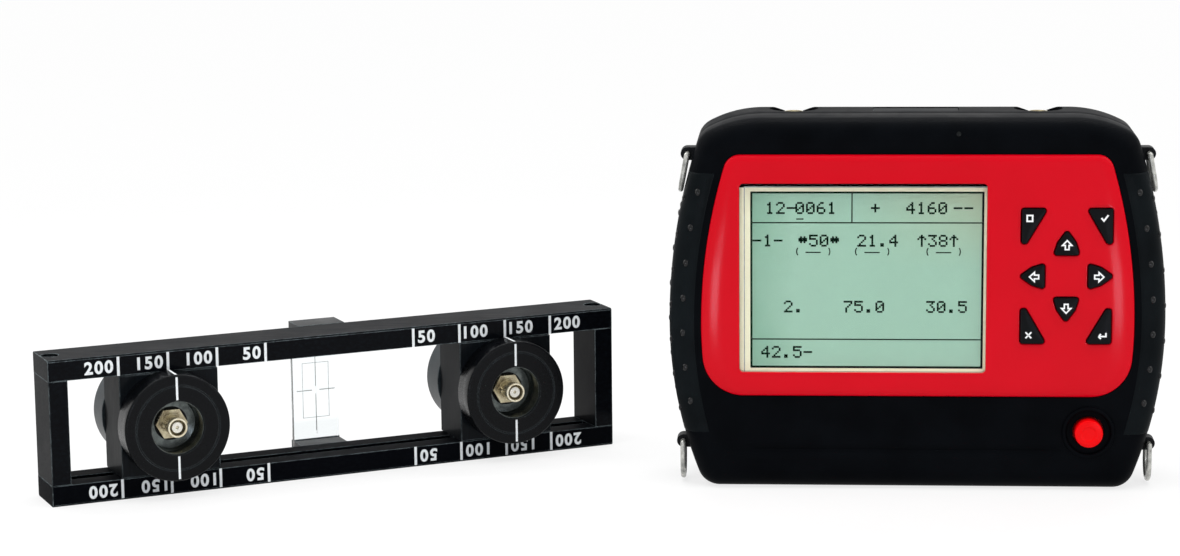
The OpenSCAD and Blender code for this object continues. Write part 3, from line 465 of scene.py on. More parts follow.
class Paint(Nodes):
    """One material under construction, with its main shader and the piece's own coordinates."""

    def __init__(self, name: str) -> None:
        """Starts a material."""
        self.material = bpy.data.materials.new(name)
        self.material.use_nodes = True
        super().__init__(self.material.node_tree)
        self.shader = self.tree.nodes["Principled BSDF"]
        self.output = self.tree.nodes["Material Output"]
        self.place = self.tree.nodes.new("ShaderNodeTexCoord").outputs["Object"]

    def show(self, share: bpy.types.NodeSocket, other: bpy.types.Node) -> None:
        """Shows another shader in place of the main one, by a share."""
        mixed = self.node("ShaderNodeMixShader", {0: share, 1: self.shader.outputs[0], 2: other.outputs[0]})
        self.tree.links.new(mixed.outputs[0], self.output.inputs["Surface"])

    def stretched(self, scale: Sequence[float], turn: Sequence[float] = (0, 0, 0)) -> bpy.types.NodeSocket:
        """The piece's coordinates, scaled and turned."""
        inputs = {"Vector": self.place, "Scale": scale, "Rotation": turn}
        return self.node("ShaderNodeMapping", inputs).outputs[0]

    def noise(self, scale: float, detail: float = 4.0, rough: float = 0.55,
              vector: bpy.types.NodeSocket | None = None) -> bpy.types.NodeSocket:
        """Soft noise with its number of grains to a metre."""
        inputs = {"Vector": vector or self.place, "Scale": scale, "Detail": detail, "Roughness": rough}
        return self.node("ShaderNodeTexNoise", inputs).outputs["Fac"]

    def spread(self, value: bpy.types.NodeSocket, low: float, high: float, start: float = 0.3,
               stop: float = 0.7) -> bpy.types.NodeSocket:
        """Sends a value between start and stop to one between low and high."""
        return self.node("ShaderNodeMapRange", {0: value, 1: start, 2: stop, 3: low, 4: high}).outputs[0]

    def blend(self, share: bpy.types.NodeSocket | float, a: object, b: object) -> bpy.types.NodeSocket:
        """Mixes two colours by a share."""
        return self.node("ShaderNodeMix", {0: share, 6: a, 7: b}, data_type="RGBA").outputs[2]

    def bump(self, height: bpy.types.NodeSocket, depth: float, share: float = 1.0,
             under: bpy.types.NodeSocket | None = None) -> bpy.types.NodeSocket:
        """Raises the surface by a height times a depth in metres."""
        inputs: dict[str | int, object] = {"Height": height, "Distance": depth, "Strength": share}
        if under is not None:
            inputs["Normal"] = under
        return self.node("ShaderNodeBump", inputs).outputs[0]

    def edges(self, radius: float = 0.0007) -> bpy.types.NodeSocket:
        """How much a place is an edge, from 0 to 1: how far its rounded normal turns from its own."""
        round_off = self.node("ShaderNodeBevel", {"Radius": radius}, samples=3).outputs[0]
        own = self.node("ShaderNodeNewGeometry").outputs["Normal"]
        agree = self.node("ShaderNodeVectorMath", {0: round_off, 1: own}, operation="DOT_PRODUCT")
        return self.spread(agree.outputs["Value"], 1, 0, 0.8, 0.985)

    def set(self, **values: object) -> None:
        """Sets or links the main shader's inputs, named with underscores for spaces."""
        for key, value in values.items():
            self.feed(self.shader.inputs[key.replace("_", " ")], value)


@dataclass(frozen=True)
class MouldedPlastic:
    """Moulded plastic or rubber with fine grain and faint scuffs; it can be rubbed smooth above a height."""

    colour: tuple[float, float, float, float]
    pale: tuple[float, float, float, float]
    roughness: tuple[float, float] = (0.36, 0.5)
    grain: float = 1500.0
    grain_depth: float = 0.00004
    specular: float = 0.5
    worn: float = 0.35
    polished: float = 0.0

    def material(self, name: str) -> bpy.types.Material:
        """Builds the finish under a name."""
        p = Paint(name)
        cloud = p.noise(38, 5)
        rough = p.spread(cloud, *self.roughness)
        if self.polished:
            up = p.node("ShaderNodeSeparateXYZ", {0: p.place}).outputs[2]
            rub = p.spread(p.noise(150, 6, 0.7, p.stretched((1, 1, 0.45))), 0, 1, 0.44, 0.56)
            share = p.maths("MULTIPLY", p.spread(up, 0, 1, self.polished, self.polished + 0.02), rub)
            rough = p.maths("SUBTRACT", rough, p.maths("MULTIPLY", share, 0.26))
        fine = p.noise(self.grain, 2, 0.6)
        scuffs = p.noise(60, 6, 0.7, p.stretched((1, 1, 9), (0.3, 0.5, 0.2)))
        base = p.blend(p.spread(cloud, 0, 0.4), self.colour, self.pale)
        marked = p.blend(p.maths("MULTIPLY", p.spread(scuffs, 0, 1, 0.62, 0.78), self.worn), base, self.pale)
        p.set(Base_Color=marked, Roughness=p.maths("ADD", rough, p.spread(scuffs, 0, 0.1, 0.5, 0.8)),
              Specular_IOR_Level=self.specular, Normal=p.bump(fine, self.grain_depth))
        return p.material


@dataclass(frozen=True)
class GlossPanel:
    """Glossy coloured plastic under a clear coat, with slight waviness, hairlines and depth of colour."""

    colour: tuple[float, float, float, float]
    deep: tuple[float, float, float, float]
    coat: float = 0.8
    coat_rough: float = 0.2
    roughness: tuple[float, float] = (0.3, 0.42)
    specular: float = 0.2

    def material(self, name: str) -> bpy.types.Material:
        """Builds the finish under a name."""
        p = Paint(name)
        cloud = p.noise(22, 4)
        ripple = p.noise(120, 2, 0.4)
        hair = p.noise(90, 8, 0.75, p.stretched((1, 1, 14), (0, 0.7, 0)))
        p.set(Base_Color=p.blend(p.spread(cloud, 0, 0.55), self.colour, self.deep),
              Roughness=p.maths("ADD", p.spread(cloud, *self.roughness), p.spread(hair, 0, 0.14, 0.55, 0.8)),
              Coat_Weight=self.coat, Coat_Roughness=self.coat_rough, Specular_IOR_Level=self.specular,
              Normal=p.bump(ripple, 0.00006, 0.6))
        return p.material


@dataclass(frozen=True)
class AnodisedMetal:
    """Dark anodised metal with long tool streaks, paler edges that are partly wear and partly painted
    highlight, and small rubbed spots.
    """

    colour: tuple[float, float, float, float]
    pale: tuple[float, float, float, float]
    edge: tuple[float, float, float, float]
    along: tuple[float, float, float] = (0.06, 1.0, 1.0)
    turn: float = 0.0
    roughness: tuple[float, float] = (0.3, 0.48)
    edge_share: float = 0.8
    coat: float = 0.5
    specular: float = 0.5

    def material(self, name: str) -> bpy.types.Material:
        """Builds the finish under a name."""
        p = Paint(name)
        streaks = p.noise(900, 5, 0.65, p.stretched(self.along, (0, 0, -self.turn)))
        cloud = p.noise(28, 5, 0.6)
        rubs = p.noise(210, 7, 0.75)
        base = p.blend(p.spread(streaks, 0, 0.5, 0.45, 0.75), self.colour, self.pale)
        spots = p.blend(p.maths("MULTIPLY", p.spread(rubs, 0, 1, 0.66, 0.76), 0.3), base, self.pale)
        # Paler edges: partly worn metal, partly a painted highlight along the edges.
        worn_and_lit_edges = p.maths("MULTIPLY", p.edges(), p.spread(rubs, 0.2, self.edge_share, 0.4, 0.6))
        p.set(Base_Color=p.blend(worn_and_lit_edges, spots, self.edge), Coat_Weight=self.coat, Coat_Roughness=0.1,
              Specular_IOR_Level=self.specular,
              Roughness=p.maths("ADD", p.spread(cloud, *self.roughness), p.spread(streaks, -0.05, 0.08)),
              Normal=p.bump(streaks, 0.00003, 0.7, p.bump(p.noise(2600, 2), 0.00002, 0.6)))
        return p.material


@dataclass(frozen=True)
class PlatedMetal:
    """Bright plated metal with fine turning marks and duller patches; below a metal share of 1 part of its
    colour is matt, as a painted reflection.
    """

    colour: tuple[float, float, float, float]
    dull: tuple[float, float, float, float]
    roughness: tuple[float, float] = (0.14, 0.34)
    anisotropy: float = 0.3
    # Share of the colour shown as metal; the rest is matt colour that stands in as painted reflection.
    metal: float = 1.0

    def material(self, name: str) -> bpy.types.Material:
        """Builds the finish under a name."""
        p = Paint(name)
        cloud = p.noise(260, 5, 0.65)
        lines = p.noise(3200, 2, 0.5, p.stretched((1, 0.08, 1)))
        p.set(Base_Color=p.blend(p.spread(cloud, 0, 0.85, 0.4, 0.7), self.colour, self.dull),
              Metallic=self.metal, Roughness=p.spread(cloud, *self.roughness), Anisotropic=self.anisotropy,
              Normal=p.bump(lines, 0.000012, 0.8))
        return p.material


@dataclass(frozen=True)
class ClearPlastic:
    """A clear sheet that lets the lamps through, with faint haze, hairlines and finger marks."""

    tint: tuple[float, float, float, float]
    ior: float = 1.49

    def material(self, name: str) -> bpy.types.Material:
        """Builds the finish under a name."""
        p = Paint(name)
        smear = p.noise(45, 5, 0.6)
        hair = p.noise(130, 8, 0.8, p.stretched((1, 1, 11), (0, 0.9, 0)))
        p.set(Base_Color=self.tint, IOR=self.ior, Transmission_Weight=1.0,
              Roughness=p.maths("ADD", p.spread(smear, 0.0, 0.05), p.spread(hair, 0, 0.05, 0.6, 0.8)),
              Normal=p.bump(smear, 0.00002, 0.3))
        through = p.node("ShaderNodeBsdfTransparent", {"Color": self.tint})
        p.show(p.node("ShaderNodeLightPath").outputs["Is Shadow Ray"], through)
        return p.material


@dataclass(frozen=True)
class DisplayFace:
    """The face of a grey-green liquid crystal display: a slow change of colour across it and a dot grid."""

    left: tuple[float, float, float, float] = tone(124, 164, 142)
    middle: tuple[float, float, float, float] = tone(150, 184, 164)
    right: tuple[float, float, float, float] = tone(160, 172, 146)
    pitch: float = 0.00036

    def material(self, name: str) -> bpy.types.Material:
        """Builds the finish under a name."""
        p = Paint(name)
        parts = p.node("ShaderNodeSeparateXYZ", {0: p.place})
        across, up = parts.outputs[0], parts.outputs[2]
        cloud = p.noise(26, 4)
        drift = p.maths("ADD", across, p.spread(cloud, -0.008, 0.008))
        first = p.blend(p.spread(drift, 0, 1, -0.084, -0.055), self.left, self.middle)
        warm = p.maths("MULTIPLY", p.spread(across, 0, 1, -0.03, 0.03), p.spread(up, 0, 1, 0.11, 0.15))
        base = p.blend(warm, first, self.right)
        grid = p.maths("ADD", p.maths("SINE", p.maths("MULTIPLY", across, 2 * math.pi / self.pitch)),
                       p.maths("SINE", p.maths("MULTIPLY", up, 2 * math.pi / self.pitch)))
        shaded = p.blend(p.spread(grid, 0.0, 0.07, 0.6, 1.8), base, tone(90, 120, 104))
        p.set(Base_Color=shaded, Roughness=p.spread(cloud, 0.34, 0.44), Specular_IOR_Level=0.08,
              Normal=p.bump(grid, 0.000004, 0.5))
        return p.material


@dataclass(frozen=True)
class PrintedInk:
    """Ink or paint that has worn thin in spots."""

    colour: tuple[float, float, float, float]
    under: tuple[float, float, float, float]
    worn: float = 0.5
    roughness: float = 0.5
    specular: float = 0.4

    def material(self, name: str) -> bpy.types.Material:
        """Builds the finish under a name."""
        p = Paint(name)
        rub = p.noise(900, 6, 0.7)
        gone = p.maths("MULTIPLY", p.spread(rub, 0, 1, 0.56, 0.72), self.worn)
        p.set(Base_Color=p.blend(gone, self.colour, self.under), Specular_IOR_Level=self.specular,
              Roughness=p.spread(rub, self.roughness - 0.08, self.roughness + 0.1),
              Normal=p.bump(rub, 0.00002, 0.5))
        return p.material


@dataclass(frozen=True)
class BoardLaminate:
    """A circuit board: green mask with fine copper tracks under it."""

    mask: tuple[float, float, float, float] = tone(20, 84, 46)
    track: tuple[float, float, float, float] = tone(44, 124, 66)

    def material(self, name: str) -> bpy.types.Material:
        """Builds the finish under a name."""
        p = Paint(name)
        upright = p.stretched((1, 1, 1), (math.pi / 2, 0, 0))
        cells = p.node("ShaderNodeTexBrick", {"Vector": upright, "Scale": 180.0, "Mortar Size": 0.012,
                                              "Color1": self.mask, "Color2": self.mask,
                                              "Mortar": self.track})
        p.set(Base_Color=p.blend(p.spread(p.noise(70, 4), 0, 0.3), cells.outputs["Color"], self.track),
              Roughness=p.spread(p.noise(300, 3), 0.28, 0.42),
              Normal=p.bump(cells.outputs["Fac"], 0.00004, 0.5))
        return p.material


class Finishes:
    """The finishes of this gauge, each built once."""

    def __init__(self) -> None:
        """Builds every finish; turn is the holder's turn, so that its streaks follow its length."""
        turn = Holder.placement()[2]
        # edge is the pale colour at the holder's edges: partly worn metal, partly painted edge highlight.
        slate, pale, edge = tone(3, 4, 7), tone(26, 34, 40), tone(150, 164, 168)
        self.case = MouldedPlastic(tone(3, 4, 6), tone(13, 16, 20), (0.42, 0.52), specular=0.02, worn=0.1,
                                   grain_depth=0.00002).material("case_black")
        self.grip = MouldedPlastic(tone(8, 11, 13), tone(26, 32, 35), (0.4, 0.55), 900, 0.00006, 0.03,
                                   worn=0.4, polished=0.125).material("grip_rubber")
        self.pip = MouldedPlastic(tone(2, 3, 4), tone(9, 10, 12), (0.1, 0.18), specular=0.3,
                                  grain_depth=0.00001).material("grip_pips")
        self.lug = MouldedPlastic(tone(5, 6, 8), tone(24, 27, 31), (0.4, 0.55),
                                  specular=0.1).material("lug_black")
        self.key = MouldedPlastic(tone(5, 6, 8), tone(15, 17, 20), (0.28, 0.4), specular=0.08,
                                  worn=0.2).material("key_black")
        self.flap = MouldedPlastic(tone(13, 15, 17), tone(36, 40, 43), (0.5, 0.62),
                                   specular=0.08).material("flap_rubber")
        self.seal = MouldedPlastic(tone(38, 38, 40), tone(56, 56, 58), (0.6, 0.7)).material("seal_rubber")
        self.panel = GlossPanel(tone(204, 0, 24), tone(192, 0, 18), 0.18, 0.14,
                                specular=0.02).material("fascia_red")
        self.button = GlossPanel(tone(240, 2, 8), tone(220, 0, 6), 0.15, 0.25,
                                 specular=0.02).material("button_red")
        self.window = ClearPlastic(tone(252, 253, 252), 1.12).material("window_clear")
        self.sight = ClearPlastic(tone(248, 252, 253)).material("sight_clear")
        self.lamp = MouldedPlastic(tone(12, 14, 15), tone(30, 34, 34), (0.15, 0.25),
                                   specular=0.1).material("lamp_clear")
        self.display = DisplayFace().material("display_face")
        self.border = PrintedInk(tone(228, 226, 196), tone(196, 194, 164), 0.35,
                                 specular=0.05).material("display_border")
        # Dark finish of the painted shadow strip above the display.
        self.painted_shadow = PrintedInk(tone(6, 5, 6), tone(18, 14, 15), specular=0.0).material("display_painted_shadow")
        self.dots = PrintedInk(tone(10, 30, 21), tone(36, 58, 46), 0.3, specular=0.0).material("display_dots")
        self.legend = PrintedInk(tone(236, 238, 238), tone(150, 152, 152), 0.35).material("key_legend")
        self.mark = PrintedInk(tone(226, 230, 231), tone(120, 128, 130), 0.6).material("mark_white")
        self.frame = AnodisedMetal(slate, tone(16, 22, 27), edge, turn=turn, roughness=(0.45, 0.58),
                                   coat=0.08, specular=0.02).material("frame_anodised")
        # Painted shade: a darker copy of the frame finish, also rougher and without coat, so the bottom
        # rail's top face reads darker than the top rail's.
        self.shaded_frame = AnodisedMetal(slate, tone(12, 15, 19), edge, turn=turn, roughness=(0.55, 0.65),
                                       coat=0.0, specular=0.02).material("frame_painted_shade")
        self.block = AnodisedMetal(tone(8, 10, 13), pale, edge, turn=turn, coat=0.1,
                                   specular=0.1).material("block_black")
        self.slider = AnodisedMetal(tone(9, 12, 15), tone(24, 30, 35), edge, (1, 1, 0.08), turn, (0.45, 0.58),
                                    coat=0.08, specular=0.03).material("slider_black")
        self.head = AnodisedMetal(tone(4, 5, 7), tone(13, 15, 18), tone(110, 120, 124), (1, 1, 1), turn,
                                  (0.24, 0.34), 0.3, 0.05, 0.08).material("head_black")
        self.transducer = AnodisedMetal(tone(30, 38, 42), tone(60, 70, 75), edge, (1, 1, 1), turn, coat=0.1,
                                        specular=0.15).material("transducer_grey")
        self.ceramic = PrintedInk(tone(168, 170, 170), tone(120, 122, 124), 0.5,
                                  0.32).material("wear_ceramic")
        # The jack, recess lining, lip and ring metals are partly matt, so part of their brightness is painted
        # reflection.
        self.plated = PlatedMetal(tone(206, 196, 164), tone(120, 104, 76), metal=0.7).material("jack_metal")
        self.sleeve = PlatedMetal(tone(96, 102, 100), tone(30, 34, 36), (0.12, 0.26),
                                  metal=0.85).material("recess_sleeve")
        self.lip = PlatedMetal(tone(236, 230, 208), tone(196, 180, 146), (0.1, 0.2),
                               metal=0.55).material("jack_lip")
        self.steel = PlatedMetal(tone(196, 196, 190), tone(84, 86, 84), metal=0.6).material("ring_steel")
        self.screw = PlatedMetal(tone(150, 154, 158), tone(88, 92, 96), (0.25, 0.45)).material("screw_steel")
        self.dark_screw = PlatedMetal(tone(52, 58, 62), tone(26, 29, 32), (0.3, 0.5)).material("screw_dark")
        self.brass = PlatedMetal(tone(206, 168, 92), tone(140, 108, 52)).material("spacer_brass")
        self.white = MouldedPlastic(tone(226, 224, 214), tone(196, 192, 178),
                                    (0.35, 0.5)).material("insulator_white")
        self.socket = PlatedMetal(tone(186, 188, 190), tone(120, 124, 128)).material("socket_steel")
        self.socket_black = MouldedPlastic(tone(16, 17, 19), tone(40, 42, 44)).material("socket_black")
        self.board = BoardLaminate().material("board_green")
        self.battery = MouldedPlastic(tone(50, 64, 128), tone(76, 90, 150),
                                      (0.3, 0.4)).material("battery_blue")
        self.switch = MouldedPlastic(tone(96, 100, 104), tone(128, 132, 136)).material("switch_grey")
        self.module = PlatedMetal(tone(150, 154, 152), tone(110, 114, 112),
                                  (0.3, 0.5)).material("display_grey")


# Instrument case


@dataclass(frozen=True)
class CaseOutline:
    """The case's outline: a chain of arcs that touch one another, mirrored about the middle."""

    width: float = 241.0
    height: float = 183.0
    top_taper: float = 26.0
    base_taper: float = 29.0
    corner: float = 11.0
    shoulder: float = 57.0
    shoulder_run: float = 45.5
    wide_share: float = 0.45
    top_drop: float = 15.0
    base_rise: float = 6.0

    @property
    def wide_z(self) -> float:
        """Height of the widest point."""
        return self.wide_share * self.height

    @staticmethod
    def sag_radius(run: float, sag: float) -> float:
        """Radius of the arc that falls by sag over a run: (run^2 + sag^2) / (2 sag)."""
        return (run * run + sag * sag) / (2 * sag)

    @property
    def low(self) -> tuple[np.ndarray, float]:
        """Centre and radius of the lower side arc."""
        r = self.sag_radius(self.wide_z - self.base_rise, self.base_taper / 2)
        return np.array([self.width / 2 - r, self.wide_z]), r

    @property
    def up(self) -> tuple[np.ndarray, float]:
        """Centre and radius of the upper side arc."""
        r = self.sag_radius(self.height - self.top_drop - self.wide_z, self.top_taper / 2)
        return np.array([self.width / 2 - r, self.wide_z]), r

    def side(self, z: np.ndarray | float, inset: np.ndarray | float) -> np.ndarray:
        """Half the case's width at heights z, inset all round: centre + sqrt(radius^2 - rise^2)."""
        z = np.asarray(z, float)
        (lc, lr), (uc, ur) = self.low, self.up
        centre, radius = np.where(z < self.wide_z, lc[0], uc[0]), np.where(z < self.wide_z, lr, ur)
        return centre + np.sqrt((radius - inset) ** 2 - (z - self.wide_z) ** 2)

    def inset_at(self, x: np.ndarray, z: np.ndarray) -> np.ndarray:
        """How far points lie inside the side arcs: radius less the distance from the centre."""
        (lc, lr), (uc, ur) = self.low, self.up
        low = lr - np.hypot(np.abs(x) - lc[0], z - self.wide_z)
        up = ur - np.hypot(np.abs(x) - uc[0], z - self.wide_z)
        return np.where(z < self.wide_z, low, up)

    def half_arcs(self) -> list[tuple[np.ndarray, float, float, float]]:
        """Centre, radius, first and last angle of the right half's arcs, from the base upwards."""
        (lc, lr), (uc, ur) = self.low, self.up
        run = math.sqrt((lr - self.corner) ** 2 - (self.wide_z - self.corner) ** 2)
        bc = np.array([lc[0] + run, self.corner])
        sc = np.array([self.width / 2 - self.shoulder_run, self.height - self.shoulder])
        d = np.linalg.norm(sc - uc)
        ru, rs = ur - self.corner, self.shoulder - self.corner
        along = (ru * ru - rs * rs + d * d) / (2 * d)
        u = (sc - uc) / d
        kc = uc + along * u + math.sqrt(ru * ru - along * along) * np.array([-u[1], u[0]])
        base_a, up_a, top_a = (math.atan2(v[1], v[0]) for v in (bc - lc, kc - uc, kc - sc))
        return [(bc, self.corner, -math.pi / 2, base_a), (lc, lr, base_a, 0.0), (uc, ur, 0.0, up_a),
                (kc, self.corner, up_a, top_a), (sc, self.shoulder, top_a, math.pi / 2)]

    def traced(self, arcs: list[tuple[np.ndarray, float, float, float]],
               spacing: float) -> tuple[np.ndarray, np.ndarray]:
        """Follows a chain of arcs, its mirror and the straight top and base.

        Args:
            arcs: The right half's arcs, from the base upwards.
            spacing: Distance between points along the outline.

        Returns:
            Points and outward normals, both points x 2, anticlockwise.
        """
        points, normals = [], []
        for number, (centre, radius, a0, a1) in enumerate(arcs):
            steps = max(7, math.ceil(radius * abs(a1 - a0) / spacing))
            angle = np.linspace(a0, a1, steps + 1)[: None if number == len(arcs) - 1 else -1]
            ray = np.stack([np.cos(angle), np.sin(angle)], 1)
            points.append(centre + radius * ray)
            normals.append(ray)
        p, n = np.concatenate(points), np.concatenate(normals)
        flip = np.array([-1.0, 1.0])

        def straight(start: np.ndarray, end: np.ndarray,
                     normal: list[float]) -> tuple[np.ndarray, np.ndarray]:
            """Points between two ends, without them, and their normal."""
            steps = max(2, math.ceil(float(np.linalg.norm(end - start)) / spacing))
            t = np.linspace(0, 1, steps + 1)[1:-1, None]
            return start + (end - start) * t, np.broadcast_to(normal, (steps - 1, 2))

        top, base = straight(p[-1], p[-1] * flip, [0, 1]), straight(p[0] * flip, p[0], [0, -1])
        return (np.concatenate([p, top[0], p[::-1] * flip, base[0]]),
                np.concatenate([n, top[1], n[::-1] * flip, base[1]]))

    def trace(self, spacing: float = 1.6) -> tuple[np.ndarray, np.ndarray]:
        """Points and normals of the case's outline."""
        return self.traced(self.half_arcs(), spacing)


@dataclass(frozen=True)
class PanelOutline:
    """The red panel's outline: it keeps an even border inside the case's sides."""

    case: CaseOutline = CaseOutline()
    border: float = 15.7
    low: float = 47.0
    high: float = 166.0
    top_corner: float = 8.0
    low_corner: float = 20.0

    def trace(self, spacing: float = 1.6) -> tuple[np.ndarray, np.ndarray]:
        """Points and normals of the panel's outline."""
        (lc, lr), (uc, ur) = self.case.low, self.case.up
        zl, zu = self.low + self.low_corner, self.high - self.top_corner
        pl = np.array([float(self.case.side(zl, self.border + self.low_corner)), zl])
        pu = np.array([float(self.case.side(zu, self.border + self.top_corner)), zu])
        al, au = math.atan2(*(pl - lc)[::-1]), math.atan2(*(pu - uc)[::-1])
        arcs = [(pl, self.low_corner, -math.pi / 2, al), (lc, lr - self.border, al, 0.0),
                (uc, ur - self.border, 0.0, au), (pu, self.top_corner, au, math.pi / 2)]
        return self.case.traced(arcs, spacing)


def seen_from(centre: Sequence[float], outline: np.ndarray, towards: np.ndarray) -> np.ndarray:
    """Points of an outline that lie on the same rays from a centre as other points.

    The outline's radius is taken as a function of its angle about the centre and read off at the
    angles of the other points.

    Args:
        centre: X and Z of the centre, inside the outline.
        outline: The outline, points x 2.
        towards: The other points, points x 2.

    Returns:
        One point of the outline for each of the other points.
    """
    rel, far = outline - np.array(centre), towards - np.array(centre)
    angle, radius = np.arctan2(rel[:, 1], rel[:, 0]), np.hypot(rel[:, 0], rel[:, 1])
    order = np.argsort(angle)
    want = np.arctan2(far[:, 1], far[:, 0])
    r = np.interp(want, angle[order], radius[order], period=2 * np.pi)
    return np.array(centre) + r[:, None] * np.stack([np.cos(want), np.sin(want)], 1)


def smooth(value: np.ndarray) -> np.ndarray:
    """Eases from 0 to 1: 3t^2 - 2t^3 with t held between 0 and 1."""
    t = np.clip(value, 0, 1)
    return t * t * (3 - 2 * t)


@dataclass(frozen=True)
class Relief:
    """A long dent in the case's lower front, bell-shaped across its height, that fades at both ends."""

    depth: float
    height: float
    reach: float
    left: float
    left_fade: float
    right: float
    right_fade: float

    def at(self, x: np.ndarray, z: np.ndarray) -> np.ndarray:
        """Its depth: depth exp(-((z - height) / reach)^2), eased to nothing towards left and right."""
        bell = self.depth * np.exp(-(((z - self.height) / self.reach) ** 2))
        ends = smooth((x - self.left) / self.left_fade) * smooth((self.right - x) / self.right_fade)
        return bell * ends


@dataclass
class CaseShells:
    """The case's front and rear halves, with the sculpted lower front and the recesses."""

    finishes: Finishes
    outline: CaseOutline = CaseOutline()
    panel: PanelOutline = PanelOutline()
    middle: tuple[float, float] = (0.0, 106.0)
    depth: float = 58.0
    edge: float = 10.0
    joint: float = -4.0
    wall: float = 6.0
    seat: float = -27.0
    seat_back: float = -23.8
    grip_low: float = 28.0
    grip_high: float = 157.0
    grip_lap: float = 13.0
    grip_dip: float = 0.8
    crease: Relief = Relief(1.35, 19.5, 1.7, -96.0, 20.0, 78.0, 16.0)
    hollow: Relief = Relief(1.1, 33.0, 8.0, -92.0, 30.0, 66.0, 14.0)
    swelling: tuple[float, float, float, float, float] = (0.5, -92.0, 14.0, 28.0, 12.0)
    flat_from: float = 45.5
    flat_run: float = 4.0
    power: tuple[float, float] = (83.6, 29.5)
    lamp: tuple[float, float] = (19.4, 176.0)
    wells: tuple[float, float, float] = (60.0, 14.5, 12.0)
    port: tuple[float, float, float, float] = (21.0, 4.0, 17.6, 175.0)
    hidden_back: float = 12.0
    hidden_top: float = 150.0
    well_floor: float = 169.0
    above: float = 190.0
    screws: tuple[tuple[float, float], ...] = (
        (101, 36), (-101, 36), (101, 150), (-101, 150), (40, 9), (-40, 9))
    screw_bore: float = 3.15
    cover: tuple[float, float, float] = (60.0, 128.0, 78.0)

    def under_grip(self, x: np.ndarray, z: np.ndarray) -> np.ndarray:
        """How far a place lies under a grip, from 0 to 1: the product of eased steps across and up."""
        inset = self.outline.inset_at(x, z)
        return (smooth((self.grip_lap - 0.5 - inset) / 0.8) * smooth((z - self.grip_low - 0.5) / 0.8)
                * smooth((self.grip_high - 0.5 - z) / 0.8))

    def dip(self, outline: np.ndarray) -> np.ndarray:
        """How deep the case is sunk under the grips, at an array of X and Z."""
        return self.grip_dip * self.under_grip(outline[:, 0], outline[:, 1])

    def sculpt(self, x: np.ndarray, z: np.ndarray) -> np.ndarray:
        """Depth of the lower front's relief below its flat face.

        A narrow crease runs along the base and fades at both ends, a shallow hollow lies above it,
        and the face swells a little at its left end.
        """
        high, cx, wide, cz, tall = self.swelling
        swell = -high * np.exp(-(((x - cx) / wide) ** 2 + ((z - cz) / tall) ** 2))
        relief = self.crease.at(x, z) + self.hollow.at(x, z) + swell
        return relief * smooth((self.flat_from - z) / self.flat_run)

    def skin(self, points: np.ndarray, normals: np.ndarray, turn: float, sign: float) -> np.ndarray:
        """One ring of the rounded edge: inset edge(1 - sin turn), depth half - edge(1 - cos turn).

        Args:
            points: The outline's points.
            normals: Their outward normals.
            turn: Angle from the flat face (0) to the side (a quarter turn).
            sign: -1 for the front half and 1 for the rear.

        Returns:
            The ring, sunk a little under the grips.
        """
        inset = self.edge * (1 - math.sin(turn))
        flat = points - normals * inset
        dip = self.dip(flat)
        flat = flat - normals * (dip * math.sin(turn))[:, None]
        y = self.depth / 2 - self.edge * (1 - math.cos(turn)) - dip * math.cos(turn)
        return at_depth(flat, sign * y)

    def build(self) -> None:
        """Builds both halves."""
        self.front()
        self.rear()

    def front(self) -> None:
        """Builds the front half: seat wall, sculpted face, rounded edge, side, joint and inner wall."""
        points, normals = self.outline.trace()
        rim = points - normals * self.edge
        dense, out = self.panel.trace(0.6)
        front = -self.depth / 2

        def panel_ring(grow: float, depth: float) -> np.ndarray:
            """The panel's outline, grown, on the rays of the case's outline."""
            return at_depth(seen_from(self.middle, dense + out * grow, rim), depth)

        inner = panel_ring(0.55, front)
        rings = [panel_ring(grow, depth) for grow, depth in
                 ((-0.8, self.seat), (0.15, self.seat), (0.15, front + 0.35), (0.25, front + 0.08))]
        for share in np.linspace(0, 1, 34):
            ring = inner * (1 - share) + at_depth(rim, front) * share
            relief = self.sculpt(ring[:, 0], ring[:, 2]) * smooth(np.array(share * 12.0))
            ring[:, 1] += relief + self.dip(ring[:, [0, 2]])
            rings.append(ring)
        for turn in np.linspace(0, math.pi / 2, 11)[1:]:
            ring = self.skin(points, normals, float(turn), -1)
            ring[:, 1] += self.sculpt(ring[:, 0], ring[:, 2]) * math.cos(turn)
            rings.append(ring)
        for y, inset in ((-12, 0), (self.joint - 0.7, 0), (self.joint - 0.2, 0.15), (self.joint, 0.5)):
            rings.append(at_depth(points - normals * (inset + self.dip(points))[:, None], y))
        rings += [at_depth(points - normals * self.wall, y) for y in (self.joint, self.seat_back)]
        rings.append(panel_ring(-0.8, self.seat_back))
        wall = panel_ring(-0.5, 0)[::2, [0, 2]]
        holes = [rounded(oblong(*Display.centre, Display.width - 4, Display.height - 4), 2),
                 *(KeyPad.outline(number, 0.3) for number in range(len(KeyPad.names)))]
        seat = plate([wall, *holes], self.seat, self.seat_back)
        shell = put("front_case", join([loft(np.array(rings), looped=True), seat]), self.finishes.case,
                    stands_for=["front_shell"], slot="case_black")
        cut(shell, [turned([(11.9, -34.0), (11.9, -27.2), (8.4, -27.2), (8.4, -20.0)], self.power, 72)])
        self.power_rim()
        lens = [(POLE, -27.5), (1.15, -27.5), (1.2, -28.9), (1.12, -29.15), (0.7, -29.32), (POLE, -29.38)]
        put("status_lens", turned(lens, self.lamp, 24), self.finishes.lamp, stands_for=["status_lamp"],
            slot="lamp_clear")

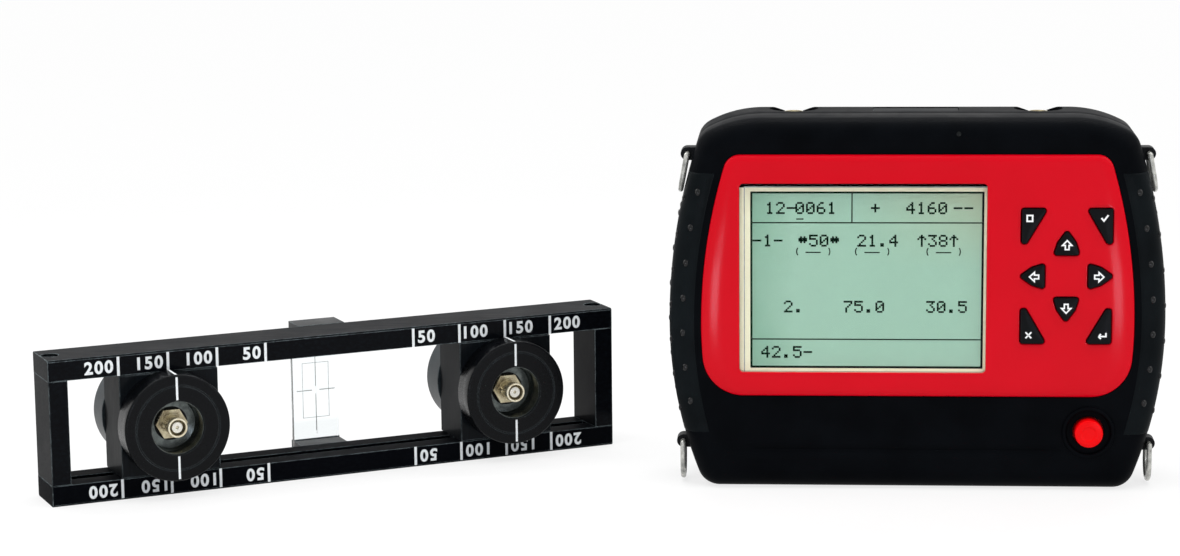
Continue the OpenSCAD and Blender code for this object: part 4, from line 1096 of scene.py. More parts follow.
    def power_rim(self) -> None:
        """Builds the raised rim round the power button: a turned ring with two soft steps."""
        back = self.seat_back
        profile = [(7.6, back), (7.6, -27.7), *fillet((7.7, -27.95), (8.2, -28.0), (9.3, -28.0)),
                   *fillet((10.2, -28.0), (10.7, -28.05), (10.75, -28.8)),
                   *fillet((10.8, -29.6), (10.95, -30.25), (11.6, -30.25)),
                   *fillet((12.1, -30.25), (12.7, -30.1), (12.85, -29.3)),
                   *fillet((12.9, -29.05), (13.1, -28.8), (13.4, -28.6)), (12.6, -27.0), (12.6, back)]
        put("power_rim", turned(profile, self.power, 96, True), self.finishes.case, slot="case_black",
            crease=50)

    def rear(self) -> None:
        """Builds the rear half: joint, side, rounded edge and back, then cuts its recesses."""
        points, normals = self.outline.trace()
        rim = points - normals * self.edge
        cz, cw, ch = self.cover
        cover = rounded(oblong(0, cz, cw + 0.3, ch + 0.3), 5, 0, 24)
        dense = np.concatenate([cover + (np.roll(cover, -1, 0) - cover) * t
                                for t in np.linspace(0, 1, 40, endpoint=False)])
        back = self.depth / 2
        hidden = points - normals * self.wall
        hidden[:, 1] = np.minimum(hidden[:, 1], self.hidden_top)
        rings = [at_depth(hidden, self.hidden_back), at_depth(hidden, self.joint),
                 at_depth(points - normals * 0.5, self.joint),
                 at_depth(points - normals * 0.15, self.joint + 0.2)]
        for y in (self.joint + 0.7, 4, 12):
            rings.append(at_depth(points - normals * self.dip(points)[:, None], y))
        for turn in np.linspace(math.pi / 2, 0, 11):
            rings.append(self.skin(points, normals, float(turn), 1))
        outer = at_depth(rim, back)
        hole = at_depth(seen_from((0, cz), dense, rim), back)
        away = hole - np.array([0, back, cz])
        lip = hole + away / np.linalg.norm(away, axis=1, keepdims=True) * 0.3
        for share in np.linspace(0, 1, 22)[1:]:
            ring = outer * (1 - share) + lip * share
            ring[:, 1] -= self.dip(ring[:, [0, 2]])
            rings.append(ring)
        rings += [hole - [0, 0.25, 0], hole - [0, 2.4, 0],
                  hole * [0.94, 1, 1] - [0, 2.4, 0] + 0.06 * np.array([0, 0, cz])]
        inward = np.array(rings[-1])
        inward[:, 1] = self.hidden_back
        shell = put("rear_case", loft(np.array([*rings, inward]), looped=True), self.finishes.case,
                    stands_for=["rear_shell"], slot="case_black")
        wx, wy, wr = self.wells
        px, p0, p1, floor = self.port
        pits = [turned([(self.screw_bore, 20.0), (self.screw_bore, 31.0)], p, 32) for p in self.screws]
        angle = np.linspace(0, 2 * np.pi, 72, endpoint=False)
        circles = [np.stack([side * wx + wr * np.cos(angle), wy + wr * np.sin(angle)], 1) for side in (-1, 1)]
        pits.append(self.pit(rounded(oblong(0, (p0 + p1) / 2, 2 * px, p1 - p0), 1.5, 0, 6), floor))
        pits += [self.pit(circle, self.well_floor) for circle in circles]
        cut(shell, pits)

    def pit(self, plan: np.ndarray, floor: float) -> Shape:
        """A recess in the top: its plan in X and Y, carried from its floor to above the case."""
        return loft(np.stack([np.insert(plan, 2, height, axis=1) for height in (floor, self.above)]))


@dataclass
class Grips:
    """The rubber grips on both sides, with rows of small raised ovals.

    A row is given by the heights of its ovals and by its share of the way from the flat front (0)
    to the middle of the side (0.5).
    """

    finishes: Finishes
    shells: CaseShells
    swell: float = 0.15
    bead: tuple[float, float, float] = (1.35, 1.85, 0.75)
    outer_row: tuple[float, ...] = (143.6, 126.0, 108.6, 91.2, 73.8, 56.6, 39.5)
    inner_row: tuple[float, ...] = (147.5, 130.0, 112.6, 95.2, 78.0, 60.8, 44.0)
    side_row: tuple[float, ...] = (134.8, 117.3, 99.9, 82.5, 65.2, 48.0)
    border: float = 0.7
    fall: float = 0.75
    thickness: float = 2.2

    def across(self) -> tuple[np.ndarray, np.ndarray, np.ndarray, np.ndarray]:
        """Inset, depth and facing of a grip's section, from its front lap round the side to its rear lap."""
        edge, half, lap = self.shells.edge, self.shells.depth / 2, self.shells.grip_lap
        turn = np.linspace(0, np.pi / 2, 12)
        inset = np.concatenate([np.linspace(lap, edge, 4)[:-1], edge * (1 - np.sin(turn)), [0, 0, 0]])
        y = np.concatenate([np.full(3, -half), -(half - edge * (1 - np.cos(turn))), [-11, -5, 0]])
        lean = np.concatenate([np.zeros(3), turn, np.full(3, np.pi / 2)])
        back = slice(-2, None, -1)
        sideways, forward = np.sin(lean), -np.cos(lean)
        return tuple(np.concatenate([a, sign * a[back]]) for a, sign in
                     ((inset, 1), (y, -1), (sideways, 1), (forward, -1)))

    def surface(self, z: np.ndarray, lift: np.ndarray) -> np.ndarray:
        """The grip's surface at heights z: the section set on the side arcs, moved out by lift."""
        inset, y, sideways, forward = self.across()
        x = self.shells.outline.side(z[:, None], inset[None, :]) + lift * sideways[None, :]
        return np.stack([x, y[None, :] + lift * forward[None, :], np.broadcast_to(z[:, None], x.shape)], 2)

    def pad(self) -> Shape:
        """One grip: its surface with rounded borders, and a second surface behind it.

        Near a border the surface falls away as a quarter circle of the border's distance.
        """
        low, high = self.shells.grip_low, self.shells.grip_high
        near = np.array([0, 0.12, 0.35, 0.7])
        z = np.concatenate([low + near, np.linspace(low + 1.6, high - 1.6, 70), high - near[::-1]])
        rim = np.minimum(z - low, high - z)
        inset, y, _, _ = self.across()
        run = np.concatenate([[0], np.cumsum(np.hypot(np.diff(inset), np.diff(y)))])
        edge = np.minimum.outer(rim, np.minimum(run, run[-1] - run))
        t = np.clip(1 - edge / self.border, 0, 1)
        lift = self.swell - self.fall * (1 - np.sqrt(1 - t * t))
        outer, inner = self.surface(z, lift), self.surface(z, np.full_like(lift, -self.thickness))
        rows, cols = outer.shape[:2]
        loop = np.concatenate([np.arange(cols), np.arange(1, rows) * cols + cols - 1,
                               (rows - 1) * cols + np.arange(cols - 2, -1, -1),
                               np.arange(rows - 2, 0, -1) * cols])
        after, shift = np.roll(loop, -1), rows * cols
        joined = join([sheet(outer), sheet(inner)])
        joined.faces += list(map(tuple, np.stack([loop, after, after + shift, loop + shift], 1).tolist()))
        return joined

    def beads(self) -> Shape:
        """The raised ovals: half balls squashed to an oval and set on the surface, facing out of it."""
        wide, tall, high = self.bead
        across, up = np.meshgrid(np.linspace(0, 2 * np.pi, 12, endpoint=False),
                                 np.array([0.0, 0.5, 1.0, 1.35]))
        ball = np.stack([wide * np.cos(across) * np.cos(up), high * np.sin(up) - 0.1,
                         tall * np.sin(across) * np.cos(up)], 2)
        rows = ((self.outer_row, 0.38), (self.inner_row, 0.11), (self.side_row, 0.5))
        front = [(z, share) for row, share in rows for z in row]
        rear = [(z, -share) for row, share in rows if row is not self.inner_row for z in row]
        edge, half = self.shells.edge, self.shells.depth / 2
        made = []
        for z, share in front + rear:
            turn = abs(share) * np.pi
            if abs(share) >= 0.5:
                inset, y, out = 0.0, -12.0, np.array([1.0, 0.0])
            else:
                inset, y = edge * (1 - math.sin(turn)), -(half - edge * (1 - math.cos(turn)))
                out = np.array([math.sin(turn), -math.cos(turn)])
            y, out = (y, out) if share > 0 else (-y, out * [1, -1])
            x = float(self.shells.outline.side(z, inset))
            along = np.array([-out[1], out[0]])
            rise = ball[..., 1] + self.swell
            made.append(loft(np.stack([x + ball[..., 0] * along[0] + rise * out[0],
                                       y + ball[..., 0] * along[1] + rise * out[1], z + ball[..., 2]], 2)))
        return join(made)

    def build(self) -> None:
        """Builds both grips."""
        for side, name in ((-1, "left_grip"), (1, "right_grip")):
            put(name + "_pad", self.pad().mapped(lambda p, s=side: p * [s, 1, 1]), self.finishes.grip,
                stands_for=[name], slot="grip_rubber", crease=50)
            put(name + "_pips", self.beads().mapped(lambda p, s=side: p * [s, 1, 1]), self.finishes.pip,
                slot="grip_rubber", crease=50)


@dataclass
class RedPanel:
    """The glossy red panel: crowned edges, widest at the flanks, with openings for window and keys."""

    finishes: Finishes
    outline: PanelOutline = PanelOutline()
    back: float = -27.0
    face: float = -31.0
    rim: float = -29.35
    crown_side: float = 13.0
    crown_top: float = 3.2

    def build(self) -> None:
        """Builds the panel: soft outer edge, crowned front with its openings, their walls, and back."""
        points, normals = self.outline.trace(1.3)
        side = self.crown_side - (self.crown_side - 7.0) * smooth((points[:, 1] - 118) / 36)
        width = self.crown_top + (side - self.crown_top) * smooth(np.abs(normals[:, 0]) * 1.25 - 0.2)

        def distance(spots: np.ndarray) -> tuple[np.ndarray, np.ndarray]:
            """The nearest outline point of each place, and how far off it is."""
            gaps = np.linalg.norm(spots[:, None] - points[None], axis=2)
            near = gaps.argmin(1)
            return near, gaps[np.arange(len(spots)), near]

        def crown(spots: np.ndarray) -> np.ndarray:
            """Depth of the front: face + (rim - face)(1 - distance / width)^2.1."""
            near, _ = distance(spots)
            inset = ((points[near] - spots) * normals[near]).sum(1)
            return self.face + (self.rim - self.face) * np.clip(1 - inset / width[near], 0, 1) ** 2.1

        edge = points - normals * 0.5
        rings = [at_depth(points, self.back), at_depth(points, self.rim + 0.6),
                 at_depth(points - normals * 0.07, self.rim + 0.3),
                 at_depth(points - normals * 0.23, self.rim + 0.08), at_depth(edge, crown(edge))]
        steps = np.array([1.0, 1.7, 2.5, 3.4, 4.4, 5.5, 6.7, 8.0, 9.4, 10.8, 12.3, 13.6])
        inner = (points[None] - normals[None] * steps[:, None, None]).reshape(-1, 2)
        inner = inner[distance(inner)[1] > 0.97 * np.repeat(steps, len(points))]
        window = oblong(*Display.centre, Display.width, Display.height)
        openings = [tuple(rounded(window, 2, g) for g in (0, 0.55, 0.9))]
        openings += [tuple(KeyPad.outline(key, g) for g in (0.3, 0.75, 1.05))
                     for key in range(len(KeyPad.names))]
        shapes = [loft(np.array(rings), caps=False),
                  filled([edge, *(guard for _, _, guard in openings)], crown, inner=inner),
                  filled([points, *(hole for hole, _, _ in openings)], self.back, True)]
        for hole, wide, guard in openings:
            middle = hole * 0.35 + wide * 0.65
            lips = ((guard, 0.0), (wide, 0.0), (middle, 0.04), (hole, 0.42))
            walls = [at_depth(lip, crown(lip) + sunk) for lip, sunk in lips]
            shapes.append(loft(np.stack([*walls, at_depth(hole, self.back)]), caps=False))
        put("red_panel", join(shapes), self.finishes.panel, stands_for=["red_fascia"], slot="fascia_red",
            crease=40)


class Glyph(Enum):
    """The signs of the display, each as seven rows of five dots."""

    ZERO = "01110 10001 10011 10101 11001 10001 01110"
    ONE = "00100 01100 00100 00100 00100 00100 01110"
    TWO = "01110 10001 00001 00010 00100 01000 11111"
    THREE = "11111 00010 00100 00010 00001 10001 01110"
    FOUR = "00010 00110 01010 10010 11111 00010 00010"
    FIVE = "11111 10000 11110 00001 00001 10001 01110"
    SIX = "00110 01000 10000 11110 10001 10001 01110"
    SEVEN = "11111 00001 00010 00100 01000 01000 01000"
    EIGHT = "01110 10001 10001 01110 10001 10001 01110"
    NINE = "01110 10001 10001 01111 00001 00010 01100"
    POINT = "00000 00000 00000 00000 00000 01100 01100"
    DASH = "00000 00000 00000 11111 00000 00000 00000"
    PLUS = "00000 00100 00100 11111 00100 00100 00000"
    RISE = "00100 01110 10101 00100 00100 00100 00100"
    SPAN = "00000 01010 11111 11111 01010 00000 00000"

    def dots(self) -> np.ndarray:
        """Column and row of the dots that are on, rows counted downwards."""
        rows = np.array([[c == "1" for c in row] for row in self.value.split()])
        return np.argwhere(rows)[:, ::-1].astype(float)


SIGNS = dict(zip("0123456789.-+^=", Glyph))


@dataclass
class Display:
    """The window, its pale border, and the display's face with its ruled boxes and dot figures.

    A row is its text and the X and Z of its lower left; (00) stands for a dash between two arcs.
    """

    finishes: Finishes
    face: float = -26.6
    dot: float = 0.94
    pitch: float = 0.83
    advance: float = 6.2
    # Height of the painted shadow strip at the top of the window.
    painted_shadow: float = 2.3
    border_back: float = -26.9
    upper_rule: float = 132.4
    lower_rule: float = 74.8
    divider: float = -31.6
    cursor: tuple[float, float, float] = (-58.5, -55.0, 134.2)
    centre: tuple[float, float] = (-26.35, 105.5)
    width: float = 119.5
    height: float = 93.2
    corner: float = 1.9
    area: tuple[float, float, float, float] = (-80.3, 31.6, 61.0, 147.3)
    rows: tuple[tuple[str, float, float], ...] = (
        ("12-", -73.0, 139.6), ("0061", -58.5, 139.6), ("+", -22.0, 139.6), ("4160", -5.0, 139.6),
        ("--", 17.8, 139.6),
        ("-1-", -79.2, 123.6), ("=50=", -57.0, 123.6), ("21.4", -28.5, 123.6), ("^38^", 0.5, 123.6),
        ("(00)", -57.0, 118.2), ("(00)", -28.5, 118.2), ("(00)", 6.0, 118.2),
        ("2.", -64.0, 91.0), ("75.0", -35.0, 91.0), ("30.5", 5.0, 91.0), ("42.5-", -75.0, 68.4))

    def figures(self, text: str, x: float, z: float) -> np.ndarray:
        """The centres of the dots of a row of signs that starts at a place."""
        spots = [SIGNS[sign].dots() * [1, -1] + [number * self.advance, 3]
                 for number, sign in enumerate(text)]
        return np.array([x, z]) + np.concatenate(spots) * self.pitch

    def flat(self, points: np.ndarray) -> np.ndarray:
        """Depth of the display's face."""
        return np.full(len(points), self.face)

    def blank(self, x: float, z: float) -> list[Shape]:
        """A dash between two arcs."""
        arc = np.linspace(-1.0, 1.0, 5)
        made = [stroke(np.stack([cx + side * 1.3 * np.cos(arc), z + 2.2 * np.sin(arc)], 1), 0.55, self.flat)
                for side, cx in ((-1, x), (1, x + 13.5))]
        return [*made, stroke(np.array([(x + 3.0, z - 0.4), (x + 10.4, z - 0.4)]), 0.6, self.flat)]

    def inside(self, gap: float, corner: float, grow: float = 0.0, steps: int = 8) -> np.ndarray:
        """The window's outline, smaller by a gap in width and height."""
        return rounded(oblong(*self.centre, self.width - gap, self.height - gap), corner, grow, steps)

    def box(self, out_left: float, out_right: float, down: float, up: float, corner: float) -> np.ndarray:
        """The display's area grown to each side, with slightly rounded corners."""
        left, right, low, high = self.area
        return rounded([(left - out_left, low - down), (right + out_right, low - down),
                        (right + out_right, high + up), (left - out_left, high + up)], corner, 0, 2)

    def surround(self) -> None:
        """Builds the pale border, a dark strip of painted shadow above it and the fine line round the
        display.
        """
        f, back = self.finishes, self.border_back
        x, half = self.centre[0], self.width / 2
        top = self.centre[1] + self.height / 2 - 0.1
        outer = self.inside(0.2, self.corner)
        # The pale border stops short of the top, where a dark strip is painted shadow from the panel's top
        # edge.
        outer[:, 1] = np.minimum(outer[:, 1], top - self.painted_shadow)
        pale = plate([outer, self.box(0.5, 0.5, 0.5, 0.5, 0.3)], -27.02, back)
        put("display_border", pale, f.border, crease=20)
        shade = brick((x - half + 0.1, -27.04, top - self.painted_shadow), (x + half - 0.1, back, top))
        put("display_painted_shadow", shade, f.painted_shadow, crease=20)
        step = plate([self.box(3.6, 2.4, 2.6, 2.9, 0.4), self.box(3.1, 2.0, 2.2, 2.5, 0.4)], -27.05, -27.0)
        put("display_border_line", step, f.module, crease=20)

    def ruled(self) -> Shape:
        """The line round the display's area, the lines that divide it, and the cursor."""
        left, right, low, high = self.area
        start, end, under = self.cursor
        border = np.array([(left, low), (right, low), (right, high), (left, high)])
        paths = (((left, self.upper_rule), (right, self.upper_rule)),
                 ((left, self.lower_rule), (right, self.lower_rule)),
                 ((self.divider, self.upper_rule), (self.divider, high)), ((start, under), (end, under)))
        return join([stroke(border, 1.1, self.flat, closed=True),
                     *(stroke(np.array(path, float), 0.62, self.flat) for path in paths)])

    def dotted(self) -> Shape:
        """All rows of figures, with one small square plate to a dot."""
        square = np.array(oblong(0, 0, self.dot, self.dot))
        front, back = self.face - 0.03, self.face + 0.1
        made = []
        for text, x, z in self.rows:
            made += self.blank(x, z) if text == "(00)" else [
                plate([square + spot], front, back) for spot in self.figures(text, x, z)]
        return join(made)

    def build(self) -> None:
        """Builds the face, module, border, ruled lines, figures and window."""
        f = self.finishes
        put("display_face", plate([self.inside(4.3, 0.3, 0, 2)], self.face, self.face + 0.6), f.display)
        refined("display_module", f.module, 0.2, "display_grey")
        self.surround()
        put("display_lines", self.ruled(), f.dots, crease=20)
        put("display_figures", self.dotted(), f.dots, crease=20)
        whole, less = (self.inside(0.3, self.corner, grow) for grow in (0, -0.25))
        steps = ((whole, -27.08), (whole, -29.8), (less, -30.0))
        put("window_pane", loft(np.stack([at_depth(ring, y) for ring, y in steps])), f.window,
            stands_for=["display_window"], slot="window_clear")


class KeyLegend(Enum):
    """The sign on each key."""

    UP = 0
    LEFT = 1
    DOWN = 2
    RIGHT = 3
    SQUARE = 4
    TICK = 5
    CROSS = 6
    RETURN = 7


@dataclass
class KeyPad:
    """The eight keys: four arrows about a middle and four wedge-shaped corner keys."""

    finishes: Finishes
    back: float = -22.95
    front: float = -32.35
    dome: float = 0.35
    lip: float = 1.2
    soft: float = 0.75
    middle: tuple[float, float] = (71.6, 107.0)
    names: tuple[str, ...] = ("key_up", "key_left", "key_down", "key_right", "key_top_left", "key_top_right",
                              "key_bottom_left", "key_bottom_right")

    @staticmethod
    def quarter(number: int) -> np.ndarray:
        """The matrix that turns rows of X and Z by a number of quarter turns."""
        a = math.pi / 2 * number
        return np.array([[math.cos(a), math.sin(a)], [-math.sin(a), math.cos(a)]])

    @classmethod
    def corners(cls, number: int) -> np.ndarray:
        """The sharp outline of a key, anticlockwise: an arrow in quarter turns, or a mirrored wedge."""
        if number < 4:
            w, near, long, bulge = 12.6, 10.4, 12.3, 1.2
            mx, mz = w / 4 + bulge, near + long / 2
            p = np.array([(-w / 2, near), (w / 2, near), (mx, mz), (0, near + long), (-mx, mz)])
            p = p @ cls.quarter(number)
        else:
            x, z, w, h, tip = 21.8, 33.1, 12.4, 17.1, 2.5
            p = np.array([(x - w, z), (x - tip, z - h), (x, z - h), (x, z)])
            sx, sz = (-1 if number in (4, 6) else 1), (1 if number < 6 else -1)
            p = p * [sx, sz]
            p = p if sx * sz > 0 else p[::-1]
        return p + np.array(cls.middle)

    @classmethod
    def outline(cls, number: int, grow: float) -> np.ndarray:
        """The rounded outline of a key, grown evenly."""
        return rounded(cls.corners(number), 1.2, grow)

    def cap(self, number: int) -> Shape:
        """A key: lip behind the wall, shaft, rounded rim and domed top.

        The top rises from its rim to its middle by dome(1 - share^2).
        """
        base = self.outline(number, 0)
        centre = self.corners(number).mean(0)
        wide, brow = self.outline(number, self.lip), self.front + self.soft
        rings = [at_depth(wide, self.back), at_depth(wide, -23.65), at_depth(base, -23.6),
                 at_depth(base, brow)]
        rings += [at_depth(self.outline(number, -0.7 * (1 - math.cos(t))), brow - self.soft * math.sin(t))
                  for t in np.linspace(0.3, math.pi / 2, 5)]
        top = self.outline(number, -0.7)
        for share in (0.8, 0.55, 0.3, 0.08):
            rings.append(at_depth(centre + (top - centre) * share, self.front - self.dome * (1 - share**2)))
        return loft(np.array(rings))

    def legend(self, number: int) -> Shape:
        """The white sign on a key, laid on its domed top."""
        kind = KeyLegend(number)
        centre = self.corners(number).mean(0)

        def top(points: np.ndarray) -> np.ndarray:
            """Depth of the key's top: its dome falls off with the square of the distance."""
            share = np.minimum(np.linalg.norm(points - centre, axis=1) / 8.0, 1)
            return self.front - self.dome * (1 - share**2)

        if number < 4:
            spin = self.quarter(number)
            head = np.array([(-2.2, 0.35), (-0.9, 0.35), (-0.9, -1.7), (0.9, -1.7), (0.9, 0.35), (2.2, 0.35),
                             (0, 2.7)])
            spot = np.array(self.middle) + np.array([0, 15.1]) @ spin
            return stroke(head @ spin + spot, 0.72, top, closed=True)
        place, width, *paths = {
            KeyLegend.SQUARE: ((-18.0, 28.6), 0.8, [(-1.3, -1.4), (1.3, -1.4), (1.3, 1.4), (-1.3, 1.4)]),
            KeyLegend.TICK: ((17.7, 28.7), 0.85, [(-1.6, 0.1), (-0.4, -1.3), (1.7, 1.5)]),
            KeyLegend.CROSS: ((-17.9, -28.7), 0.8, [(-1.4, -1.5), (1.4, 1.5)], [(-1.4, 1.5), (1.4, -1.5)]),
            KeyLegend.RETURN: ((17.4, -28.9), 0.8, [(1.9, 1.5), (1.9, -0.3), (-1.5, -0.3)],
                               [(-0.5, 0.9), (-1.8, -0.3), (-0.5, -1.5)])}[kind]
        spot, closed = np.array(self.middle) + place, kind is KeyLegend.SQUARE
        return join([stroke(np.array(path) + spot, width, top, closed=closed) for path in paths])

    def build(self) -> None:
        """Builds the keys and their signs; each rides on its own body."""
        for number, name in enumerate(self.names):
            put(name + "_cap", self.cap(number), self.finishes.key, name + "_body", [name], "key_black", 40)
            put(name + "_sign", self.legend(number), self.finishes.legend, name + "_body", crease=20)


@dataclass
class PowerButton:
    """The red power button: a round cap with a shallow ring and a flange behind the wall."""

    finishes: Finishes
    centre: tuple[float, float] = (83.6, 29.5)
    radius: float = 6.8
    front: float = -33.5
    back: float = -22.5
    flange: float = 9.0

    def build(self) -> None:
        """Builds the cap."""
        r, y, back = self.radius, self.front, self.back
        profile = [(POLE, back), (self.flange, back), (self.flange, back - 1), (r, back - 1.05), (r, y + 1.1),
                   *fillet((r, y + 0.9), (r, y), (r - 1.1, y)), (4.2, y - 0.12),
                   *fillet((3.6, y - 0.14), (3.3, y + 0.15), (3.0, y + 0.15)), (2.0, y + 0.12),
                   (POLE, y + 0.1)]
        put("power_cap", turned(profile, self.centre, 72), self.finishes.button, "power_button_body",
            ["power_button"], "button_red", 50)


@dataclass
class Fittings:
    """The plain fittings of the case and what lies inside it, each as a refined copy of its node."""

    finishes: Finishes

    def build(self) -> None:
        """Dresses the lugs, rings, sockets, flap, cover, screws and inner parts."""
        f = self.finishes
        rings = ("ring_upper_left", "ring_upper_right", "ring_lower_left", "ring_lower_right")
        fittings = (
            ("strap_lugs", f.lug, 0.5, "lug_black"),
            *((name, f.steel, 0, "ring_steel", 60) for name in rings),
            *((name, f.plated, 0.15, "jack_metal") for name in ("transmit_jack", "receive_jack")),
            ("jack_cores", f.white, 0.2, "insulator_white"),
            ("data_socket", f.socket, 0.2, "socket_steel"),
            ("charging_socket", f.socket_black, 0.25, "socket_black"),
            ("port_flap", f.flap, 0.4, "flap_rubber"),
            ("flap_pin", f.screw, 0.1, "screw_steel"),
            ("battery_cover", f.case, 0.4, "case_black"),
            ("case_screws", f.screw, 0.2, "screw_steel"),
            ("case_gasket", f.seal, 0, "seal_rubber"),
            *((name, f.board, 0, "board_green") for name in ("main_board", "keypad_board", "pulser_board")),
            ("board_spacers", f.brass, 0.1, "spacer_brass"),
            ("board_screws", f.screw, 0.15, "screw_steel"),
            ("battery_pack", f.battery, 1.0, "battery_blue"),
            ("power_switch", f.switch, 0.3, "switch_grey"))
        for fitting in fittings:
            refined(*fitting)


# Probe holder


@dataclass
class Holder:
    """The probe holder: its frame, scale, centre blocks and sight plate, in its own turned frame."""

    finishes: Finishes
    height: float = 72.5
    depth: float = 27.8
    rail: float = 10.4
    marks: tuple[float, ...] = (39.1, 64.1, 89.1, 114.1)
    mark_width: float = 1.35
    figure: float = 6.5
    sight_front: float = 39.25

    @staticmethod
    def placement() -> tuple[float, float, float]:
        """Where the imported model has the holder: X and Y of its front middle and its turn in radians."""
        axis = next(j["axis"] for j in frame["joints"] if j["name"] == "right_probe_slide")
        turn = math.atan2(axis[1], axis[0])
        turn = turn if abs(turn) < math.pi / 2 else turn - math.copysign(math.pi, turn)
        lows, highs = zip(*(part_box(n) for n in ("left_end", "right_end")))
        mid = np.array([(min(a[i] for a in lows) + max(b[i] for b in highs)) / 2 / MM for i in (0, 1)])
        half = Holder.depth / 2
        return (float(mid[0] + half * math.sin(turn)), float(mid[1] - half * math.cos(turn)), turn)

    @classmethod
    def place(cls, points: np.ndarray) -> np.ndarray:
        """Sends points from the holder's frame to the part's: turned about Z, then shifted."""
        x, y, turn = cls.placement()
        c, s = math.cos(turn), math.sin(turn)
        px, py, pz = points.T
        return np.stack([x + px * c - py * s, y + px * s + py * c, pz], 1)

    def figures(self, text: str, x: float, z: float, flipped: bool, outward: int) -> Shape:
        """One number of the scale as flat raised letters.

        Args:
            text: The number.
            x: Where its inner edge lies.
            z: Height of its middle.
            flipped: Whether it stands on its head.
            outward: 1 if it grows to the right and -1 if to the left.

        Returns:
            The number in the holder's frame.
        """
        curve = bpy.data.curves.new("figures", "FONT")
        curve.body, curve.size, curve.extrude, curve.offset = text, 1.0, 0.02, 0.034
        curve.space_character, curve.resolution_u = 1.2, 5
        made = bpy.data.objects.new("figures", curve)
        bpy.context.scene.collection.objects.link(made)
        bpy.context.view_layer.update()
        mesh = bpy.data.meshes.new_from_object(made.evaluated_get(bpy.context.evaluated_depsgraph_get()))
        bpy.data.objects.remove(made)
        flat = np.zeros(len(mesh.vertices) * 3)
        mesh.vertices.foreach_get("co", flat)
        flat = flat.reshape(-1, 3)
        faces = [tuple(p.vertices) for p in mesh.polygons]
        bpy.data.meshes.remove(mesh)
        lo, hi = flat.min(0), flat.max(0)
        flat = (flat - (lo + hi) / 2) * (self.figure / (hi[1] - lo[1]))
        flat[:, :2] *= -1 if flipped else 1
        half = (flat[:, 0].max() - flat[:, 0].min()) / 2
        depth = np.where(flat[:, 2] > 0, -0.07, 0.08)
        return Shape(np.stack([flat[:, 0] + x + outward * half, depth, flat[:, 1] + z], 1), faces)

    def scale(self) -> Shape:
        """The numbers at all marks of both rails."""
        made = []
        for rail_z, flipped in ((self.height - self.rail / 2 - 0.2, False), (self.rail / 2 + 0.2, True)):
            for text, mark in zip(("50", "100", "150", "200"), self.marks):
                for side in (-1, 1):
                    made.append(self.figures(text, side * (mark + 2.5), rail_z, flipped, side))
        return join(made)

    def lines(self) -> Shape:
        """The scale's lines: flat bars over each rail's height, ending at its chamfer."""
        half = self.mark_width / 2
        middles = [side * mark for mark in self.marks for side in (-1, 1)]
        spans = ((self.height - self.rail, self.height - 0.9), (0.9, self.rail))
        return join([brick((x - half, -0.09, low), (x + half, 0.08, high))
                     for low, high in spans for x in middles])

    def cross(self) -> Shape:
        """The sight plate's engraved cross: fine grey lines with a gap where they would meet."""

        def face(points: np.ndarray) -> np.ndarray:
            """Depth of the sight plate's front."""
            return np.full(len(points), self.sight_front)

        z, gap, arm, side = self.height / 2, 2.0, 10.2, 7.0
        low, foot, brow, high = 15.0, 22.0, 50.5, 57.5
        hairs = [((0, low), (0, z - gap)), ((0, z + gap), (0, high)), ((-arm, z), (-gap, z)),
                 ((gap, z), (arm, z))]
        sides = [((-side, foot), (-side, brow)), ((side, foot), (side, brow)), ((-side, foot), (side, foot)),
                 ((-side, brow), (side, brow))]
        return join([stroke(np.array(path, float), width, face)
                     for paths, width in ((hairs, 0.34), (sides, 0.22)) for path in paths])

    def build(self) -> None:
        """Builds the holder's frame pieces, its scale and its sight plate."""
        f = self.finishes
        for name in ("top_rail", "left_end", "right_end"):
            refined(name, f.frame, 0.45, "frame_anodised")
        # The bottom rail takes the darker copy of the frame finish, as painted shade.
        refined("bottom_rail", f.shaded_frame, 0.45, "frame_anodised")
        for name in ("upper_centre_block", "lower_centre_block"):
            refined(name, f.block, 0.6, "block_black")
        refined("frame_screws", f.dark_screw, 0.2, "screw_dark")
        refined("sight_plate", f.sight, 0, "sight_clear")
        put("scale_lines", self.lines().mapped(self.place), f.mark, "holder", ["scale_marks"], "mark_white",
            20)
        put("scale_numbers", self.scale().mapped(self.place), f.mark, "holder", slot="mark_white", crease=20)
        put("sight_cross", self.cross().mapped(self.place), f.module, "holder", crease=20)


